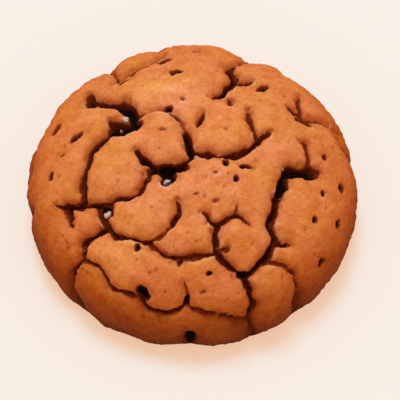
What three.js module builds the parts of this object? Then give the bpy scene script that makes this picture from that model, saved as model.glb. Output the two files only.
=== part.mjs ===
import * as THREE from 'three';
import { ConvexHull } from 'three/addons/math/ConvexHull.js';

// Ginger cookie: one mound of dough whose crust split into plates as it baked.
// Millimetres, +Z up. The origin is the middle of the flat underside, and the
// front of the cookie faces -Y.
//
// A place on the crust is written [east, north]: millimetres measured over the
// crust from its summit, as a tape measure lies on it, with east along +X and
// north along +Y. The edge of the underside is about 53 mm out on this map.

// ---- Driving dimensions ----

const COOKIE_DIAMETER = 70;
const COOKIE_HEIGHT = 26; // of the plain mound: the swellings of the crust add up to 1 mm
const UNDERSIDE_DIAMETER = 64;
const WIDEST_HEIGHT = 6.5; // height at which the side is widest

// How full each stretch of the side profile is, from 0 (flat) to 1 (square).
const CROWN_FULLNESS = 0.64;
const SHOULDER_FULLNESS = 0.7;
const FLANK_FULLNESS = 0.55;
const TOE_FULLNESS = 0.5;

// The lips of a crack are rounded over, which makes the plates look pillowy.
const LIP_ROLL = 1.2;
const LIP_ROLL_REACH = 4.5;
const REFERENCE_CRACK_WIDTH = 1; // a crack this wide has the full lip roll
const FREE_END_TAPER = 3.5; // a crack that ends alone narrows over this length,
const FREE_END_SHARE = 0.4; // but over no more than this share of the crack
const RUN_OFF_DISTANCE = 8; // a crack that ends this near the underside runs off over the foot
const MEETING_DISTANCE = 1.4; // two cracks this close have run into each other

// Low undulation of the whole crust.
const UNDULATION_HEIGHT = 0.22;
const UNDULATION_LENGTHS = [11, 7.3, 8.9];

// All relief fades out above the edge of the underside, which lies flat.
const TOE_FADE = 4;

// Spacing of the crust's faces: close beside a crack, wide across a plate.
const STATION_SPACING = 1.25;
const SHOULDER_DISTANCES = [0.9, 2.2];
const RIM_FACES = 128;
const CLOSEST_SPACING = 0.42;
const PLATE_SPACING = 2.1;
const SPACING_GROWTH = 0.42;
const OVAL_RINGS = [0, 0.5, 1]; // rings of corners in a hollow: shares of the way to its edge
const FEWEST_OVAL_FACES = 6;

// ---- Cracks, as they run over the crust from one end to the other ----

const FRONT_CRACKS = [
  { name: 'north-west seam', width: 2.5, depth: 2.5,
    route: [[-22.8, 18.3], [-22.3, 14.3], [-17.6, 12.7], [-13.9, 11.7]] },
  { name: 'north-west bar', width: 2.3, depth: 2.4,
    route: [[-14.2, 11.7], [-13, 10.1], [-12.5, 7], [-13.1, 4.4]] },
  { name: 'north-west tail', width: 2.2, depth: 2.2, route: [[-13.9, 5.9], [-18, 7.3]] },
  { name: 'saddle start', width: 1, depth: 1, route: [[-12.7, 7], [-10.6, 8.6]] },
  { name: 'saddle', width: 0.9, depth: 0.6, route: [[-10.6, 8.6], [-7.7, 9.2], [-4.6, 8.5], [-2.9, 6.4]] },
  { name: 'saddle end', width: 0.8, depth: 0.4, route: [[-2.9, 6.4], [-1.9, 4.3], [-1.5, 2.5]] },
  { name: 'crown lip', width: 1.3, depth: 1.1,
    route: [[-4.9, 26.8], [-9.3, 25.2], [-12.4, 23.2], [-17.6, 18.7]] },
  { name: 'crown notch', width: 1, depth: 0.7,
    route: [[-16, 20.1], [-17.8, 24.5], [-19.2, 27.9], [-20.6, 31.4]] },
  { name: 'north tick', width: 0.9, depth: 0.5, route: [[-6.8, 28.3], [-7.4, 33]] },
  { name: 'crown', width: 2, depth: 2.2, route: [[8, 22.7], [8.9, 18.5], [6.2, 14.4], [3.7, 11.4]] },
  { name: 'crown cheek', width: 1.3, depth: 1.1,
    route: [[7.9, 21.6], [9.8, 24.9], [12.4, 28.5], [15.5, 34.9]] },
  { name: 'crown east', width: 2.1, depth: 2, route: [[8.9, 18], [11.4, 18.2], [13.4, 19]] },
  { name: 'brow', width: 1.3, depth: 1.1, route: [[0.8, 4.1], [1.7, 6.3], [2.8, 8.2]] },
  { name: 'north hairline', width: 1.2, depth: 0.8, route: [[7.5, 13.1], [8.2, 11.6], [9.4, 10.6]] },
  { name: 'north-east', width: 2, depth: 1.9, route: [[19.7, 12.7], [22.1, 11.7], [24, 10.9], [26.2, 8.7]] },
  { name: 'north-east spur', width: 1.1, depth: 0.9, route: [[24, 17.8], [24, 14.8], [24.2, 11.3]] },
  { name: 'north-east rim', width: 1, depth: 0.9, route: [[25.5, 10.6], [30.1, 11.9], [35.8, 12.1]] },
  { name: 'centre cleft', width: 1.8, depth: 2.2,
    route: [[-1.5, 2.6], [-0.4, -0.8], [-0.6, -3.9], [-4.6, -5.7], [-9.4, -4.1], [-12, -0.6]] },
  { name: 'centre hole', width: 1.8, depth: 2.2, route: [[-5.1, -6.5], [-5.1, -9.6]] },
  { name: 'centre east', width: 1.5, depth: 1.7,
    route: [[-0.5, -1.5], [4.1, -2.3], [7.7, -2.5], [11.8, -0.4], [14.7, 2.6], [16.8, 5]] },
  { name: 'hook', width: 1.2, depth: 1.1, route: [[11.3, 9.6], [12, 7.2], [12.6, 4.9], [13.6, 1.6]] },
  { name: 'west', width: 1.4, depth: 1.6,
    route: [[-14.9, 4.9], [-20.1, 1.8], [-21.7, -1.3], [-23.3, -7], [-23.3, -11.7]] },
  { name: 'west belt', width: 1.6, depth: 1.8, route: [[-30.7, -10.6], [-27.8, -11.7], [-19.6, -12.8]] },
  { name: 'west belt rise', width: 1.2, depth: 1.2,
    route: [[-19.6, -12.8], [-11.8, -11.7], [-9.7, -9.1], [-8.7, -5.5]] },
  { name: 'west spur', width: 2, depth: 2.1, route: [[-27.8, -11.7], [-26.8, -15.4], [-25.7, -17.4]] },
  { name: 'west triangle', width: 1.1, depth: 1.2, route: [[-17, -13.3], [-17, -14.8], [-18.1, -16.4]] },
  { name: 'inner south-west', width: 1.2, depth: 1.3,
    route: [[-20.2, -12.8], [-19.7, -14.9], [-17.6, -18.5], [-15.5, -20.6], [-8.8, -22.1]] },
  { name: 'inner rise', width: 0.8, depth: 0.6, route: [[-8.8, -22.1], [-6.2, -20.7], [-3.8, -18.4]] },
  { name: 'inner rise top', width: 1.3, depth: 1.4, route: [[-3.8, -18.4], [-3, -16.3], [-3.1, -13]] },
  { name: 'south-west', width: 1.3, depth: 1.6,
    route: [[-17.6, -18.5], [-23.8, -20.8], [-24.7, -23.5], [-30.5, -28.4], [-31.4, -31.5], [-31.9, -35.6]] },
  { name: 'belly top', width: 1, depth: 0.9,
    route: [[-24.7, -24.4], [-20.6, -27], [-19, -30.8], [-16.3, -32.7], [-11.7, -33.5]] },
  { name: 'south belt', width: 1.1, depth: 1.4,
    route: [[-11.7, -33.2], [-11.1, -36.4], [-7.9, -38.3], [-3.8, -37.8], [-1.4, -35.7]] },
  { name: 'belly rise', width: 0.7, depth: 0.5, route: [[-1.4, -35.7], [-1.2, -32.8], [-1.4, -29.6]] },
  { name: 'south belt east', width: 1, depth: 0.8,
    route: [[-1.4, -36.3], [2.9, -37.9], [7.9, -39.2], [14.2, -40.3]] },
  { name: 'inner south', width: 1.1, depth: 1,
    route: [[-8.8, -22.1], [-7.2, -24.3], [-2.6, -25.8], [4.7, -24.8]] },
  { name: 'south notch', width: 1.6, depth: 1.5, route: [[-0.7, -41.4], [-0.4, -44.5], [-0.6, -50]] },
  { name: 'heart', width: 1.2, depth: 1.3, route: [[1.5, -15.3], [5.1, -18.4], [9.2, -16.4], [12.4, -19]] },
  { name: 'south-east', width: 1.4, depth: 1.6,
    route: [[5.1, -18.4], [5.2, -24.8], [10.5, -29.2], [12.5, -32], [14.4, -35.4], [14, -39.2]] },
  { name: 'south-east foot', width: 1, depth: 0.9, route: [[14, -39.2], [16, -42.8], [17.6, -46.2]] },
  { name: 'south-east stub', width: 0.9, depth: 0.8, route: [[5.2, -23.7], [7.9, -23.8]] },
  { name: 'east ring', width: 1.5, depth: 1.9,
    route: [[11, -29.8], [16.2, -24.9], [17.4, -21.2], [16.4, -18], [17.5, -14.8]] },
  { name: 'east ring top', width: 1.7, depth: 1.9,
    route: [[17.5, -14.8], [18, -11.7], [18.6, -8.6], [19.6, -5.5]] },
  { name: 'east ring stub', width: 1.6, depth: 1.5, route: [[17.5, -21.7], [21.4, -21.7]] },
  { name: 'east cleft', width: 2.1, depth: 2.3,
    route: [[19.4, -7], [20.2, -4.5], [23.8, -3.8], [28.8, -4]] },
  { name: 'east hairline', width: 1, depth: 0.8, route: [[24.9, -3.9], [24.6, 2.5], [21.7, 3.2]] },
  { name: 'lower east', width: 0.9, depth: 0.7,
    route: [[16.2, -25.8], [20.6, -26.4], [23.6, -28.7], [26.2, -31.7], [28.3, -34.8], [31.3, -38.8]] },
  { name: 'west rim', width: 0.9, depth: 0.9, route: [[-36.8, -7.6], [-39.8, -8.1], [-45.7, -6]] },
  { name: 'east rim', width: 1, depth: 1.1, route: [[32.1, 13.6], [34.3, 8.5], [39.5, 6.4], [45.5, 7.3]] },
];

// The back and the flanks split in the same way.
const BACK_CRACKS = [
  { name: 'north trunk', width: 1.4, depth: 1.8, route: [[9.5, 33], [10.2, 36], [8.5, 42], [9.5, 48]] },
  { name: 'north belt', width: 1.1, depth: 1.5,
    route: [[9.5, 34], [4, 36], [-2, 34], [-7, 33], [-13, 35], [-20, 31.5], [-25, 26]] },
  { name: 'north drop', width: 1, depth: 1.3, route: [[-13, 35], [-14.5, 40], [-12, 46]] },
  { name: 'north shelf', width: 0.8, depth: 0.9, route: [[-14.5, 40], [-5, 40], [-1, 42.5]] },
  { name: 'north-west drop', width: 1, depth: 1.4, route: [[-20, 31.5], [-25, 34], [-27, 40]] },
  { name: 'north-west flank', width: 1.1, depth: 1.5,
    route: [[-25, 26], [-30, 23], [-34, 21], [-38, 15], [-42, 12], [-47, 13]] },
  { name: 'west drop', width: 0.8, depth: 0.9, route: [[-38, 15], [-38.5, 8], [-41, 2]] },
  { name: 'north-east belt', width: 1.1, depth: 1.5,
    route: [[10, 35.5], [16.5, 35], [21.5, 32], [26, 30.5], [30, 31.5], [35, 35]] },
  { name: 'north-east notch', width: 0.9, depth: 0.9, route: [[21.5, 32], [23, 27], [22.5, 23.5]] },
  { name: 'north-east shelf', width: 0.9, depth: 1, route: [[16.5, 35], [20, 38], [20, 43]] },
  { name: 'east flank', width: 1, depth: 1.3, route: [[26, 30.5], [33, 27], [39, 24.5], [45, 19]] },
  { name: 'south-east flank', width: 0.8, depth: 1, route: [[43.5, -25], [45.5, -20], [47, -14]] },
  { name: 'south-west flank', width: 0.8, depth: 1, route: [[-41, -27], [-44.5, -22.5], [-47, -16]] },
];

// ---- Hollows: places where several plates pulled apart ----

const HOLLOWS = [
  { name: 'north-west hollow', place: [-13.9, 4.9], length: 8, width: 4.1, turn: 8, depth: 2.8 },
  { name: 'centre hollow', place: [-5, -5.9], length: 9.5, width: 3, turn: 4, depth: 2.8 },
  { name: 'centre pit', place: [-4.8, -8.6], length: 4, width: 3.2, turn: 60, depth: 2.4 },
  { name: 'north-east hollow', place: [23.9, 8.7], length: 4, width: 2.2, turn: -25, depth: 1.8 },
  { name: 'east hollow', place: [23.2, -5.1], length: 8.6, width: 2.8, turn: 4, depth: 2.6 },
  { name: 'east corner', place: [18.6, -8.8], length: 5.5, width: 2.8, turn: 72, depth: 2.4 },
  { name: 'west triangle', place: [-18.2, -14.6], length: 4, width: 3.2, turn: -30, depth: 2.1 },
  { name: 'west hollow', place: [-20, 0.3], length: 2.4, width: 1.9, turn: 0, depth: 1.6 },
  { name: 'ring junction', place: [10.8, -29.2], length: 3.2, width: 2.2, turn: 20, depth: 2 },
  { name: 'south hollow', place: [-11, -32.8], length: 4.2, width: 3.2, turn: -60, depth: 2.2 },
  { name: 'belly junction', place: [-1.2, -35], length: 2.6, width: 1.9, turn: 80, depth: 1.6 },
  { name: 'south notch', place: [-0.6, -47.6], length: 10, width: 4.4, turn: 90, depth: 2.2 },
  { name: 'lower east notch', place: [26.6, -34.4], length: 5.5, width: 2.8, turn: -65, depth: 1.8 },
];

// Small dark specks where a bubble or a crumb of spice broke the crust, or a lip chipped.
const SPECK_DEPTH = 1;
const FAINT_SPECK_DEPTH = 0.4;
const SPECKS = [
  { place: [-3.4, 19.1], length: 3.1, width: 1.8, turn: 0 },
  { place: [-5, 9.5], length: 2.2, width: 1.5, turn: 0 },
  { place: [-30.5, -4], length: 2.2, width: 1.6, turn: 90 },
  { place: [-29.9, 8.9], length: 3.3, width: 2.1, turn: 60 },
  { place: [-24.6, 4.2], length: 4.2, width: 1.9, turn: 42 },
  { place: [28.3, 0.3], length: 2.2, width: 1.3, turn: 80 },
  { place: [27.5, -9], length: 2, width: 0.9, turn: 80 },
  { place: [25.7, -15.5], length: 2.2, width: 1.6, turn: 60 },
  { place: [32.7, -14.3], length: 3.1, width: 1.5, turn: 60 },
  { place: [33.1, -5.7], length: 2.9, width: 1.7, turn: 75 },
  { place: [29.5, -23.7], length: 2.8, width: 1.8, turn: 65 },
  { place: [9, -8.3], length: 2.3, width: 1.1, turn: 90 },
  { place: [10.9, -5.5], length: 2.9, width: 1.4, turn: 10 },
  { place: [3.5, -29], length: 2.2, width: 1.4, turn: 0 },
  { place: [14.9, 16.2], length: 3.6, width: 2.3, turn: 30 },
  { place: [-6.2, 23.5], length: 3.5, width: 2, turn: 15 },
  { place: [-15, 18.3], length: 2.8, width: 1.5, turn: 30 },
  { place: [-11.5, -23.2], length: 2.1, width: 1.5, turn: 80 },
  { place: [-2.5, -26.6], length: 1.9, width: 1.3, turn: 80 },
  { place: [6.9, -4.6], length: 2.3, width: 1.6, turn: 90 },
];
const FAINT_SPECKS = [
  { place: [9, -15], length: 2, width: 1.3, turn: 90 },
  { place: [4.7, -13.7], length: 1.9, width: 1.6, turn: 0 },
  { place: [0.7, -12.3], length: 1.9, width: 1.2, turn: 0 },
  { place: [-2, 11.3], length: 1.7, width: 1.1, turn: 0 },
  { place: [-6, 2.8], length: 1.9, width: 1.3, turn: 0 },
  { place: [4.7, -7.5], length: 1.6, width: 1, turn: 0 },
  { place: [2.3, -32.7], length: 2, width: 1.1, turn: 10 },
  { place: [0.9, 26.9], length: 1.8, width: 1, turn: 0 },
  { place: [-27.8, 0.4], length: 1.5, width: 1.1, turn: 60 },
];

// Broad swellings and dips: first those of single plates, then those of the outline.
const SWELLS = [
  { name: 'knob', place: [-6, 1], height: 1.1, reach: 5.5 },
  { name: 'crown', place: [-4, 15], height: 0.5, reach: 8 },
  { name: 'west plate', place: [-15, -7], height: 0.7, reach: 6.5 },
  { name: 'inner plate', place: [-9, -17.5], height: 0.6, reach: 5 },
  { name: 'heart plate', place: [10.5, -23.5], height: 0.6, reach: 5 },
  { name: 'east plate', place: [25, -15], height: 0.6, reach: 8 },
  { name: 'belly', place: [-9, -29], height: 0.5, reach: 7 },
  { name: 'south-east plate', place: [19, -33], height: 0.7, reach: 6 },
  { name: 'north-east plate', place: [9, 4], height: 0.5, reach: 6 },
  { name: 'north outline', place: [-2, 30], height: 1.15, reach: 10 },
  { name: 'north-east notch', place: [14.7, 32], height: -0.6, reach: 2.5 },
  { name: 'north-west outline', place: [-25.5, 25.5], height: 0.3, reach: 4 },
  { name: 'west shoulder', place: [-30, 18], height: 0.4, reach: 7 },
  { name: 'west dip', place: [-35.7, 15.3], height: -0.8, reach: 3.5 },
  { name: 'west outline', place: [-39.5, 8], height: 0.8, reach: 3.5 },
  { name: 'south-west bulge', place: [-40, -27], height: 0.3, reach: 5 },
  { name: 'south-west outline', place: [-33.5, -36.5], height: 0.15, reach: 6 },
  { name: 'south-west foot', place: [-25.3, -42.7], height: 0.55, reach: 3 },
  { name: 'south bulge', place: [-11.5, -48.5], height: 0.55, reach: 4.5 },
  { name: 'south outline', place: [6, -44], height: 0.35, reach: 7 },
  { name: 'south-east foot', place: [17.6, -46.8], height: 0.85, reach: 4 },
  { name: 'south-east outline', place: [25.5, -43], height: 0.2, reach: 4 },
  { name: 'east dip', place: [40, 2], height: -0.2, reach: 4 },
];

// ---- The plain mound ----

const WIDEST_RADIUS = COOKIE_DIAMETER / 2;
const UNDERSIDE_RADIUS = UNDERSIDE_DIAMETER / 2;

/** Half of the mound's section, from the summit down to the edge of the underside. */
function moundProfile() {
  const shoulderRise = COOKIE_HEIGHT - WIDEST_HEIGHT;
  const upper = new THREE.CubicBezierCurve(
    new THREE.Vector2(0, COOKIE_HEIGHT),
    new THREE.Vector2(CROWN_FULLNESS * WIDEST_RADIUS, COOKIE_HEIGHT),
    new THREE.Vector2(WIDEST_RADIUS, WIDEST_HEIGHT + SHOULDER_FULLNESS * shoulderRise),
    new THREE.Vector2(WIDEST_RADIUS, WIDEST_HEIGHT),
  );
  const toeHandle = UNDERSIDE_RADIUS + TOE_FULLNESS * (WIDEST_RADIUS - UNDERSIDE_RADIUS);
  const lower = new THREE.CubicBezierCurve(
    new THREE.Vector2(WIDEST_RADIUS, WIDEST_HEIGHT),
    new THREE.Vector2(WIDEST_RADIUS, WIDEST_HEIGHT * (1 - FLANK_FULLNESS)),
    new THREE.Vector2(toeHandle, 0),
    new THREE.Vector2(UNDERSIDE_RADIUS, 0),
  );
  const profile = new THREE.CurvePath();
  profile.add(upper);
  profile.add(lower);
  return profile;
}

const PROFILE = moundProfile();
const CRUST_REACH = PROFILE.getLength();

/** The point of the plain mound at a place on the crust map, and the way out of it. */
function moundAt([east, north]) {
  const distance = Math.min(Math.hypot(east, north), CRUST_REACH);
  const bearing = Math.atan2(north, east);
  const along = distance / CRUST_REACH;
  const section = PROFILE.getPointAt(along);
  const tangent = PROFILE.getTangentAt(along);
  const spin = (radius, height) =>
    new THREE.Vector3(radius * Math.cos(bearing), radius * Math.sin(bearing), height);
  return { point: spin(section.x, section.y), outward: spin(-tangent.y, tangent.x) };
}

// ---- Cracks laid on the mound ----

/** Lays a crack's route on the mound as a chain of short straight steps. */
function layCrack({ width, depth, route }) {
  const curve = new THREE.SplineCurve(route.map((place) => new THREE.Vector2(...place)));
  const steps = Math.max(2, Math.round(curve.getLength() / STATION_SPACING));
  const stations = curve.getSpacedPoints(steps).map(({ x, y }) => [x, y]);
  const points = stations.map((station) => moundAt(station).point);
  return { width, depth, stations, points, steps };
}

const CRACKS = [...FRONT_CRACKS, ...BACK_CRACKS].map(layCrack);

/** Whether a crack's end runs into another crack, or off over the foot of the cookie. */
function endIsOpen(crack, index) {
  const toUnderside = CRUST_REACH - Math.hypot(...crack.stations[index]);
  const others = CRACKS.filter((other) => other !== crack);
  const isNear = (point) => point.distanceTo(crack.points[index]) < MEETING_DISTANCE;
  return toUnderside < RUN_OFF_DISTANCE || others.some((other) => other.points.some(isNear));
}

/** Narrows a crack towards each end that stops alone on a plate. */
function taperCrack(crack) {
  const { points, steps } = crack;
  const taper = Math.min(FREE_END_TAPER, FREE_END_SHARE * steps * STATION_SPACING);
  const firstOpen = endIsOpen(crack, 0);
  const lastOpen = endIsOpen(crack, steps);
  const fullOpening = 1;
  crack.openings = points.map((_, index) => {
    const fromFirst = firstOpen ? fullOpening : (index * STATION_SPACING) / taper;
    const fromLast = lastOpen ? fullOpening : ((steps - index) * STATION_SPACING) / taper;
    return Math.sqrt(Math.min(fullOpening, fromFirst, fromLast));
  });
}

CRACKS.forEach(taperCrack);

/** The steps of all cracks, each a straight line with its opening at both ends. */
const CRACK_STEPS = CRACKS.flatMap((crack) =>
  crack.points.slice(1).map((point, index) => ({
    crack,
    line: new THREE.Line3(crack.points[index], point),
    openings: [crack.openings[index], crack.openings[index + 1]],
  })),
);

/** How deep the cracks are, and how far the lips sink, at a point of the mound. */
function crackRelief(point) {
  let groove = 0;
  let roll = 0;
  let nearest = Infinity;
  const foot = new THREE.Vector3();
  for (const { crack, line, openings } of CRACK_STEPS) {
    const along = line.closestPointToPointParameter(point, true);
    const distance = line.at(along, foot).distanceTo(point);
    nearest = Math.min(nearest, distance);
    const opening = THREE.MathUtils.lerp(openings[0], openings[1], along);
    const halfWidth = (crack.width / 2) * opening;
    const inside = Math.max(0, 1 - distance / Math.max(halfWidth, Number.EPSILON));
    groove = Math.max(groove, crack.depth * opening * inside);
    const beyondLip = Math.max(0, distance - halfWidth) / LIP_ROLL_REACH;
    const share = Math.min(1, crack.width / REFERENCE_CRACK_WIDTH) * opening;
    roll = Math.max(roll, LIP_ROLL * share * Math.max(0, 1 - beyondLip) ** 2);
  }
  return { groove, roll, nearest };
}

// ---- Hollows and specks ----

/** How far out a place is in an oval, where 0 is its middle and 1 its edge. */
function ovalDistance([east, north], { place, length, width, turn }) {
  const angle = THREE.MathUtils.degToRad(turn);
  const offset = new THREE.Vector2(east - place[0], north - place[1]);
  offset.rotateAround(new THREE.Vector2(), -angle);
  return Math.hypot(offset.x / (length / 2), offset.y / (width / 2));
}

/** The place on an oval's edge, or a share of the way to it, at an angle. */
function ovalPlace({ place, length, width, turn }, angle, share) {
  const along = (share * length * Math.cos(angle)) / 2;
  const across = (share * width * Math.sin(angle)) / 2;
  const offset = new THREE.Vector2(along, across);
  offset.rotateAround(new THREE.Vector2(), THREE.MathUtils.degToRad(turn));
  return [place[0] + offset.x, place[1] + offset.y];
}

const withDepth = (depth) => (speck) => ({ ...speck, depth });
const OVALS = [
  ...HOLLOWS,
  ...SPECKS.map(withDepth(SPECK_DEPTH)),
  ...FAINT_SPECKS.map(withDepth(FAINT_SPECK_DEPTH)),
];

/** How deep the hollows and specks are at a place: each is a bowl. */
function hollowRelief(place) {
  const depths = OVALS.map((oval) => oval.depth * Math.max(0, 1 - ovalDistance(place, oval) ** 2));
  return Math.max(...depths);
}

// ---- The whole relief ----

/** Broad swellings plus a low undulation. */
function swellRelief([east, north], point) {
  const swells = SWELLS.map(({ place, height, reach }) => {
    const distance = Math.hypot(east - place[0], north - place[1]);
    return height * Math.exp(-((distance / reach) ** 2));
  });
  const total = swells.reduce((sum, swell) => sum + swell, 0);
  const [longWave, shortWave, upWave] = UNDULATION_LENGTHS;
  const waves =
    Math.sin((2 * Math.PI * point.x) / longWave + point.y / shortWave) +
    Math.sin((2 * Math.PI * point.y) / shortWave - point.x / upWave) +
    Math.cos((2 * Math.PI * (point.z - point.x + point.y)) / (upWave + longWave));
  return total + UNDULATION_HEIGHT * (waves / UNDULATION_LENGTHS.length);
}

/** The finished crust at a place: the mound, pushed out or in by its relief. */
function crustAt(place) {
  const { point, outward } = moundAt(place);
  const toToe = (CRUST_REACH - Math.hypot(...place)) / TOE_FADE;
  const fade = THREE.MathUtils.smoothstep(toToe, 0, 1);
  const { groove, roll } = crackRelief(point);
  const sunk = roll + Math.max(groove, hollowRelief(place));
  return point.clone().addScaledVector(outward, fade * (swellRelief(place, point) - sunk));
}

// ---- Where the crust's corners lie ----

const corners = [];

/** Adds a corner unless one already lies within the spacing asked for. */
function addCorner(place, spacing) {
  const distanceOut = Math.hypot(...place);
  const { point } = moundAt(place);
  if (distanceOut > CRUST_REACH - spacing / 2) return;
  if (corners.some((corner) => corner.point.distanceTo(point) < spacing)) return;
  corners.push({ place, point });
}

/** The corners round the edge of the underside. */
function addRimCorners() {
  for (let index = 0; index < RIM_FACES; index += 1) {
    const bearing = (2 * Math.PI * index) / RIM_FACES;
    const place = [CRUST_REACH * Math.cos(bearing), CRUST_REACH * Math.sin(bearing)];
    corners.push({ place, point: moundAt(place).point });
  }
}

/** The corners along a crack: its bottom first, or else points beside it on both sides. */
function addCrackCorners(crack, sideDistance) {
  crack.stations.forEach((station, index) => {
    const before = crack.stations[Math.max(0, index - 1)];
    const after = crack.stations[Math.min(crack.steps, index + 1)];
    const course = new THREE.Vector2(after[0] - before[0], after[1] - before[1]).normalize();
    const offset = sideDistance(crack.openings[index]);
    const sides = offset > 0 ? [-1, 1] : [0];
    for (const side of sides) {
      const place = [station[0] - side * offset * course.y, station[1] + side * offset * course.x];
      addCorner(place, Math.max(CLOSEST_SPACING, offset * SPACING_GROWTH));
    }
  });
}

/** The corners of a hollow: its middle, a ring halfway out, and its edge. */
function addOvalCorners(oval) {
  const girth = Math.PI * ((oval.length + oval.width) / 2);
  const edgeFaces = Math.max(FEWEST_OVAL_FACES, Math.round(girth / STATION_SPACING));
  for (const share of OVAL_RINGS) {
    const count = share > 0 ? edgeFaces : 1;
    for (let index = 0; index < count; index += 1) {
      addCorner(ovalPlace(oval, (2 * Math.PI * index) / count, share), CLOSEST_SPACING);
    }
  }
}

/** Fills the plates with corners in staggered rows, wider apart away from cracks. */
function addPlateCorners() {
  const rowStep = CLOSEST_SPACING * 2;
  const rows = Math.ceil(CRUST_REACH / rowStep);
  for (let row = -rows; row <= rows; row += 1) {
    for (let column = -rows; column <= rows; column += 1) {
      const stagger = row % 2 === 0 ? 0 : rowStep / 2;
      const place = [column * rowStep + stagger, row * rowStep];
      if (Math.hypot(...place) < CRUST_REACH) {
        const { nearest } = crackRelief(moundAt(place).point);
        const spacing = THREE.MathUtils.clamp(nearest * SPACING_GROWTH, 2 * CLOSEST_SPACING, PLATE_SPACING);
        addCorner(place, spacing);
      }
    }
  }
}

addRimCorners();
CRACKS.forEach((crack) => addCrackCorners(crack, () => 0));
CRACKS.forEach((crack) => addCrackCorners(crack, (opening) => (crack.width / 2) * opening));
OVALS.forEach(addOvalCorners);
for (const shoulder of SHOULDER_DISTANCES) {
  CRACKS.forEach((crack) => addCrackCorners(crack, () => crack.width / 2 + shoulder));
}
addPlateCorners();

// ---- Faces ----

/**
 * Joins the corners into well-shaped triangles. The crust map is wrapped round
 * a unit ball, with one more corner at its foot for the underside. The convex
 * hull of the ball's corners is then a closed net of faces that look outwards.
 */
function cookieGeometry() {
  const mapRadius = WIDEST_RADIUS + CLOSEST_SPACING;
  const wrapped = corners.map(({ place: [east, north] }) => {
    const polar = Math.hypot(east, north) / mapRadius;
    const bearing = Math.atan2(north, east);
    return new THREE.Vector3(
      Math.sin(polar) * Math.cos(bearing),
      Math.sin(polar) * Math.sin(bearing),
      Math.cos(polar),
    );
  });
  const foot = new THREE.Vector3(0, 0, -1);
  const ballCorners = [...wrapped, foot];
  const indexOf = new Map(ballCorners.map((corner, index) => [corner, index]));
  const faces = new ConvexHull().setFromPoints(ballCorners).faces.flatMap(({ edge }) =>
    [edge.head(), edge.next.head(), edge.next.next.head()].map(({ point }) => indexOf.get(point)),
  );
  const positions = corners.map(({ place }) => crustAt(place));
  const undersideCentre = new THREE.Vector3(0, 0, 0);
  const geometry = new THREE.BufferGeometry().setFromPoints([...positions, undersideCentre]);
  geometry.setIndex(faces);
  geometry.computeVertexNormals();
  return geometry;
}

// ---- Finish and scene graph ----

const crust = new THREE.MeshStandardMaterial({ color: 0xcd7a46, roughness: 0.75, metalness: 0 });

const cookie = new THREE.Mesh(cookieGeometry(), crust);
cookie.name = 'cookie';

const group = new THREE.Group();
group.add(cookie);

export default group;
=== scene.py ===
"""Ginger cookie: a browned, cracked crust with crumbs in its cracks, in a plain pale studio.

Everything is in metres in the cookie's own frame: +Z up, the origin in the middle of the
flat underside, and the front of the cookie towards -Y. A place on the crust is written
(east, north), in millimetres measured over the crust from its summit, as a tape measure
lies on it, with east along +X and north along +Y.
"""

import logging
import math
from dataclasses import dataclass, field, replace
from enum import Enum

import bpy
import numpy as np
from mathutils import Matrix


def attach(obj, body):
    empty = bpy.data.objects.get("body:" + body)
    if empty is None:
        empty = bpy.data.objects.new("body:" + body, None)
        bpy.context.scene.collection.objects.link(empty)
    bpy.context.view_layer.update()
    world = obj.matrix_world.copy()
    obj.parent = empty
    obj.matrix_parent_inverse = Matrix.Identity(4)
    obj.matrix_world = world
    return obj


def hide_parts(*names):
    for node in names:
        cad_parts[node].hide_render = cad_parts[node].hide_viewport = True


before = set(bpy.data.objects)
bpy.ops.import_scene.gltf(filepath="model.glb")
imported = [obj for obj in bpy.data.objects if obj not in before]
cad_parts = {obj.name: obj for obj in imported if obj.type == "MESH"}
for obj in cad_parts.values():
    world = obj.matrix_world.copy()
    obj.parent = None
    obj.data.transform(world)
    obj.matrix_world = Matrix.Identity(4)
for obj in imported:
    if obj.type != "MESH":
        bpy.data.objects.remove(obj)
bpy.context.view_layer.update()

log = logging.getLogger("ginger_cookie")

MM = 0.001
COOKIE_NODE = "cookie"

Place = tuple[float, float]
Rgb = tuple[int, int, int]
Tint = tuple[float, float, float]


# ---- Cracks, hollows, specks and swellings ----


@dataclass(frozen=True)
class Crack:
    """A split in the crust: its name, width and depth in mm, and its route over the crust."""

    name: str
    width: float
    depth: float
    route: tuple[Place, ...]


@dataclass(frozen=True)
class Oval:
    """An oval bowl in the crust: its middle, size, turn in degrees and depth, in mm."""

    place: Place
    length: float
    width: float
    turn: float
    depth: float = 1


@dataclass(frozen=True)
class Swell:
    """A broad swelling or dip of the crust: its middle, height and reach, in mm."""

    place: Place
    height: float
    reach: float


@dataclass(frozen=True)
class Patch:
    """A patch coloured paler, or browner where its tone is negative, partly as uneven baking and partly as
    painted light and shade: its middle and reach in mm.
    """

    name: str
    place: Place
    tone: float
    reach: float


class CrumbTone(Enum):
    """How brown a crumb is baked, from 0, brown, to 1, pale."""

    BROWN = 0.15
    GOLDEN = 0.5
    PALE = 1.0


@dataclass(frozen=True)
class Crumb:
    """A crumb that lies at a chosen place: its place and radius in mm, and its tone."""

    place: Place
    radius: float
    tone: CrumbTone


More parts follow.
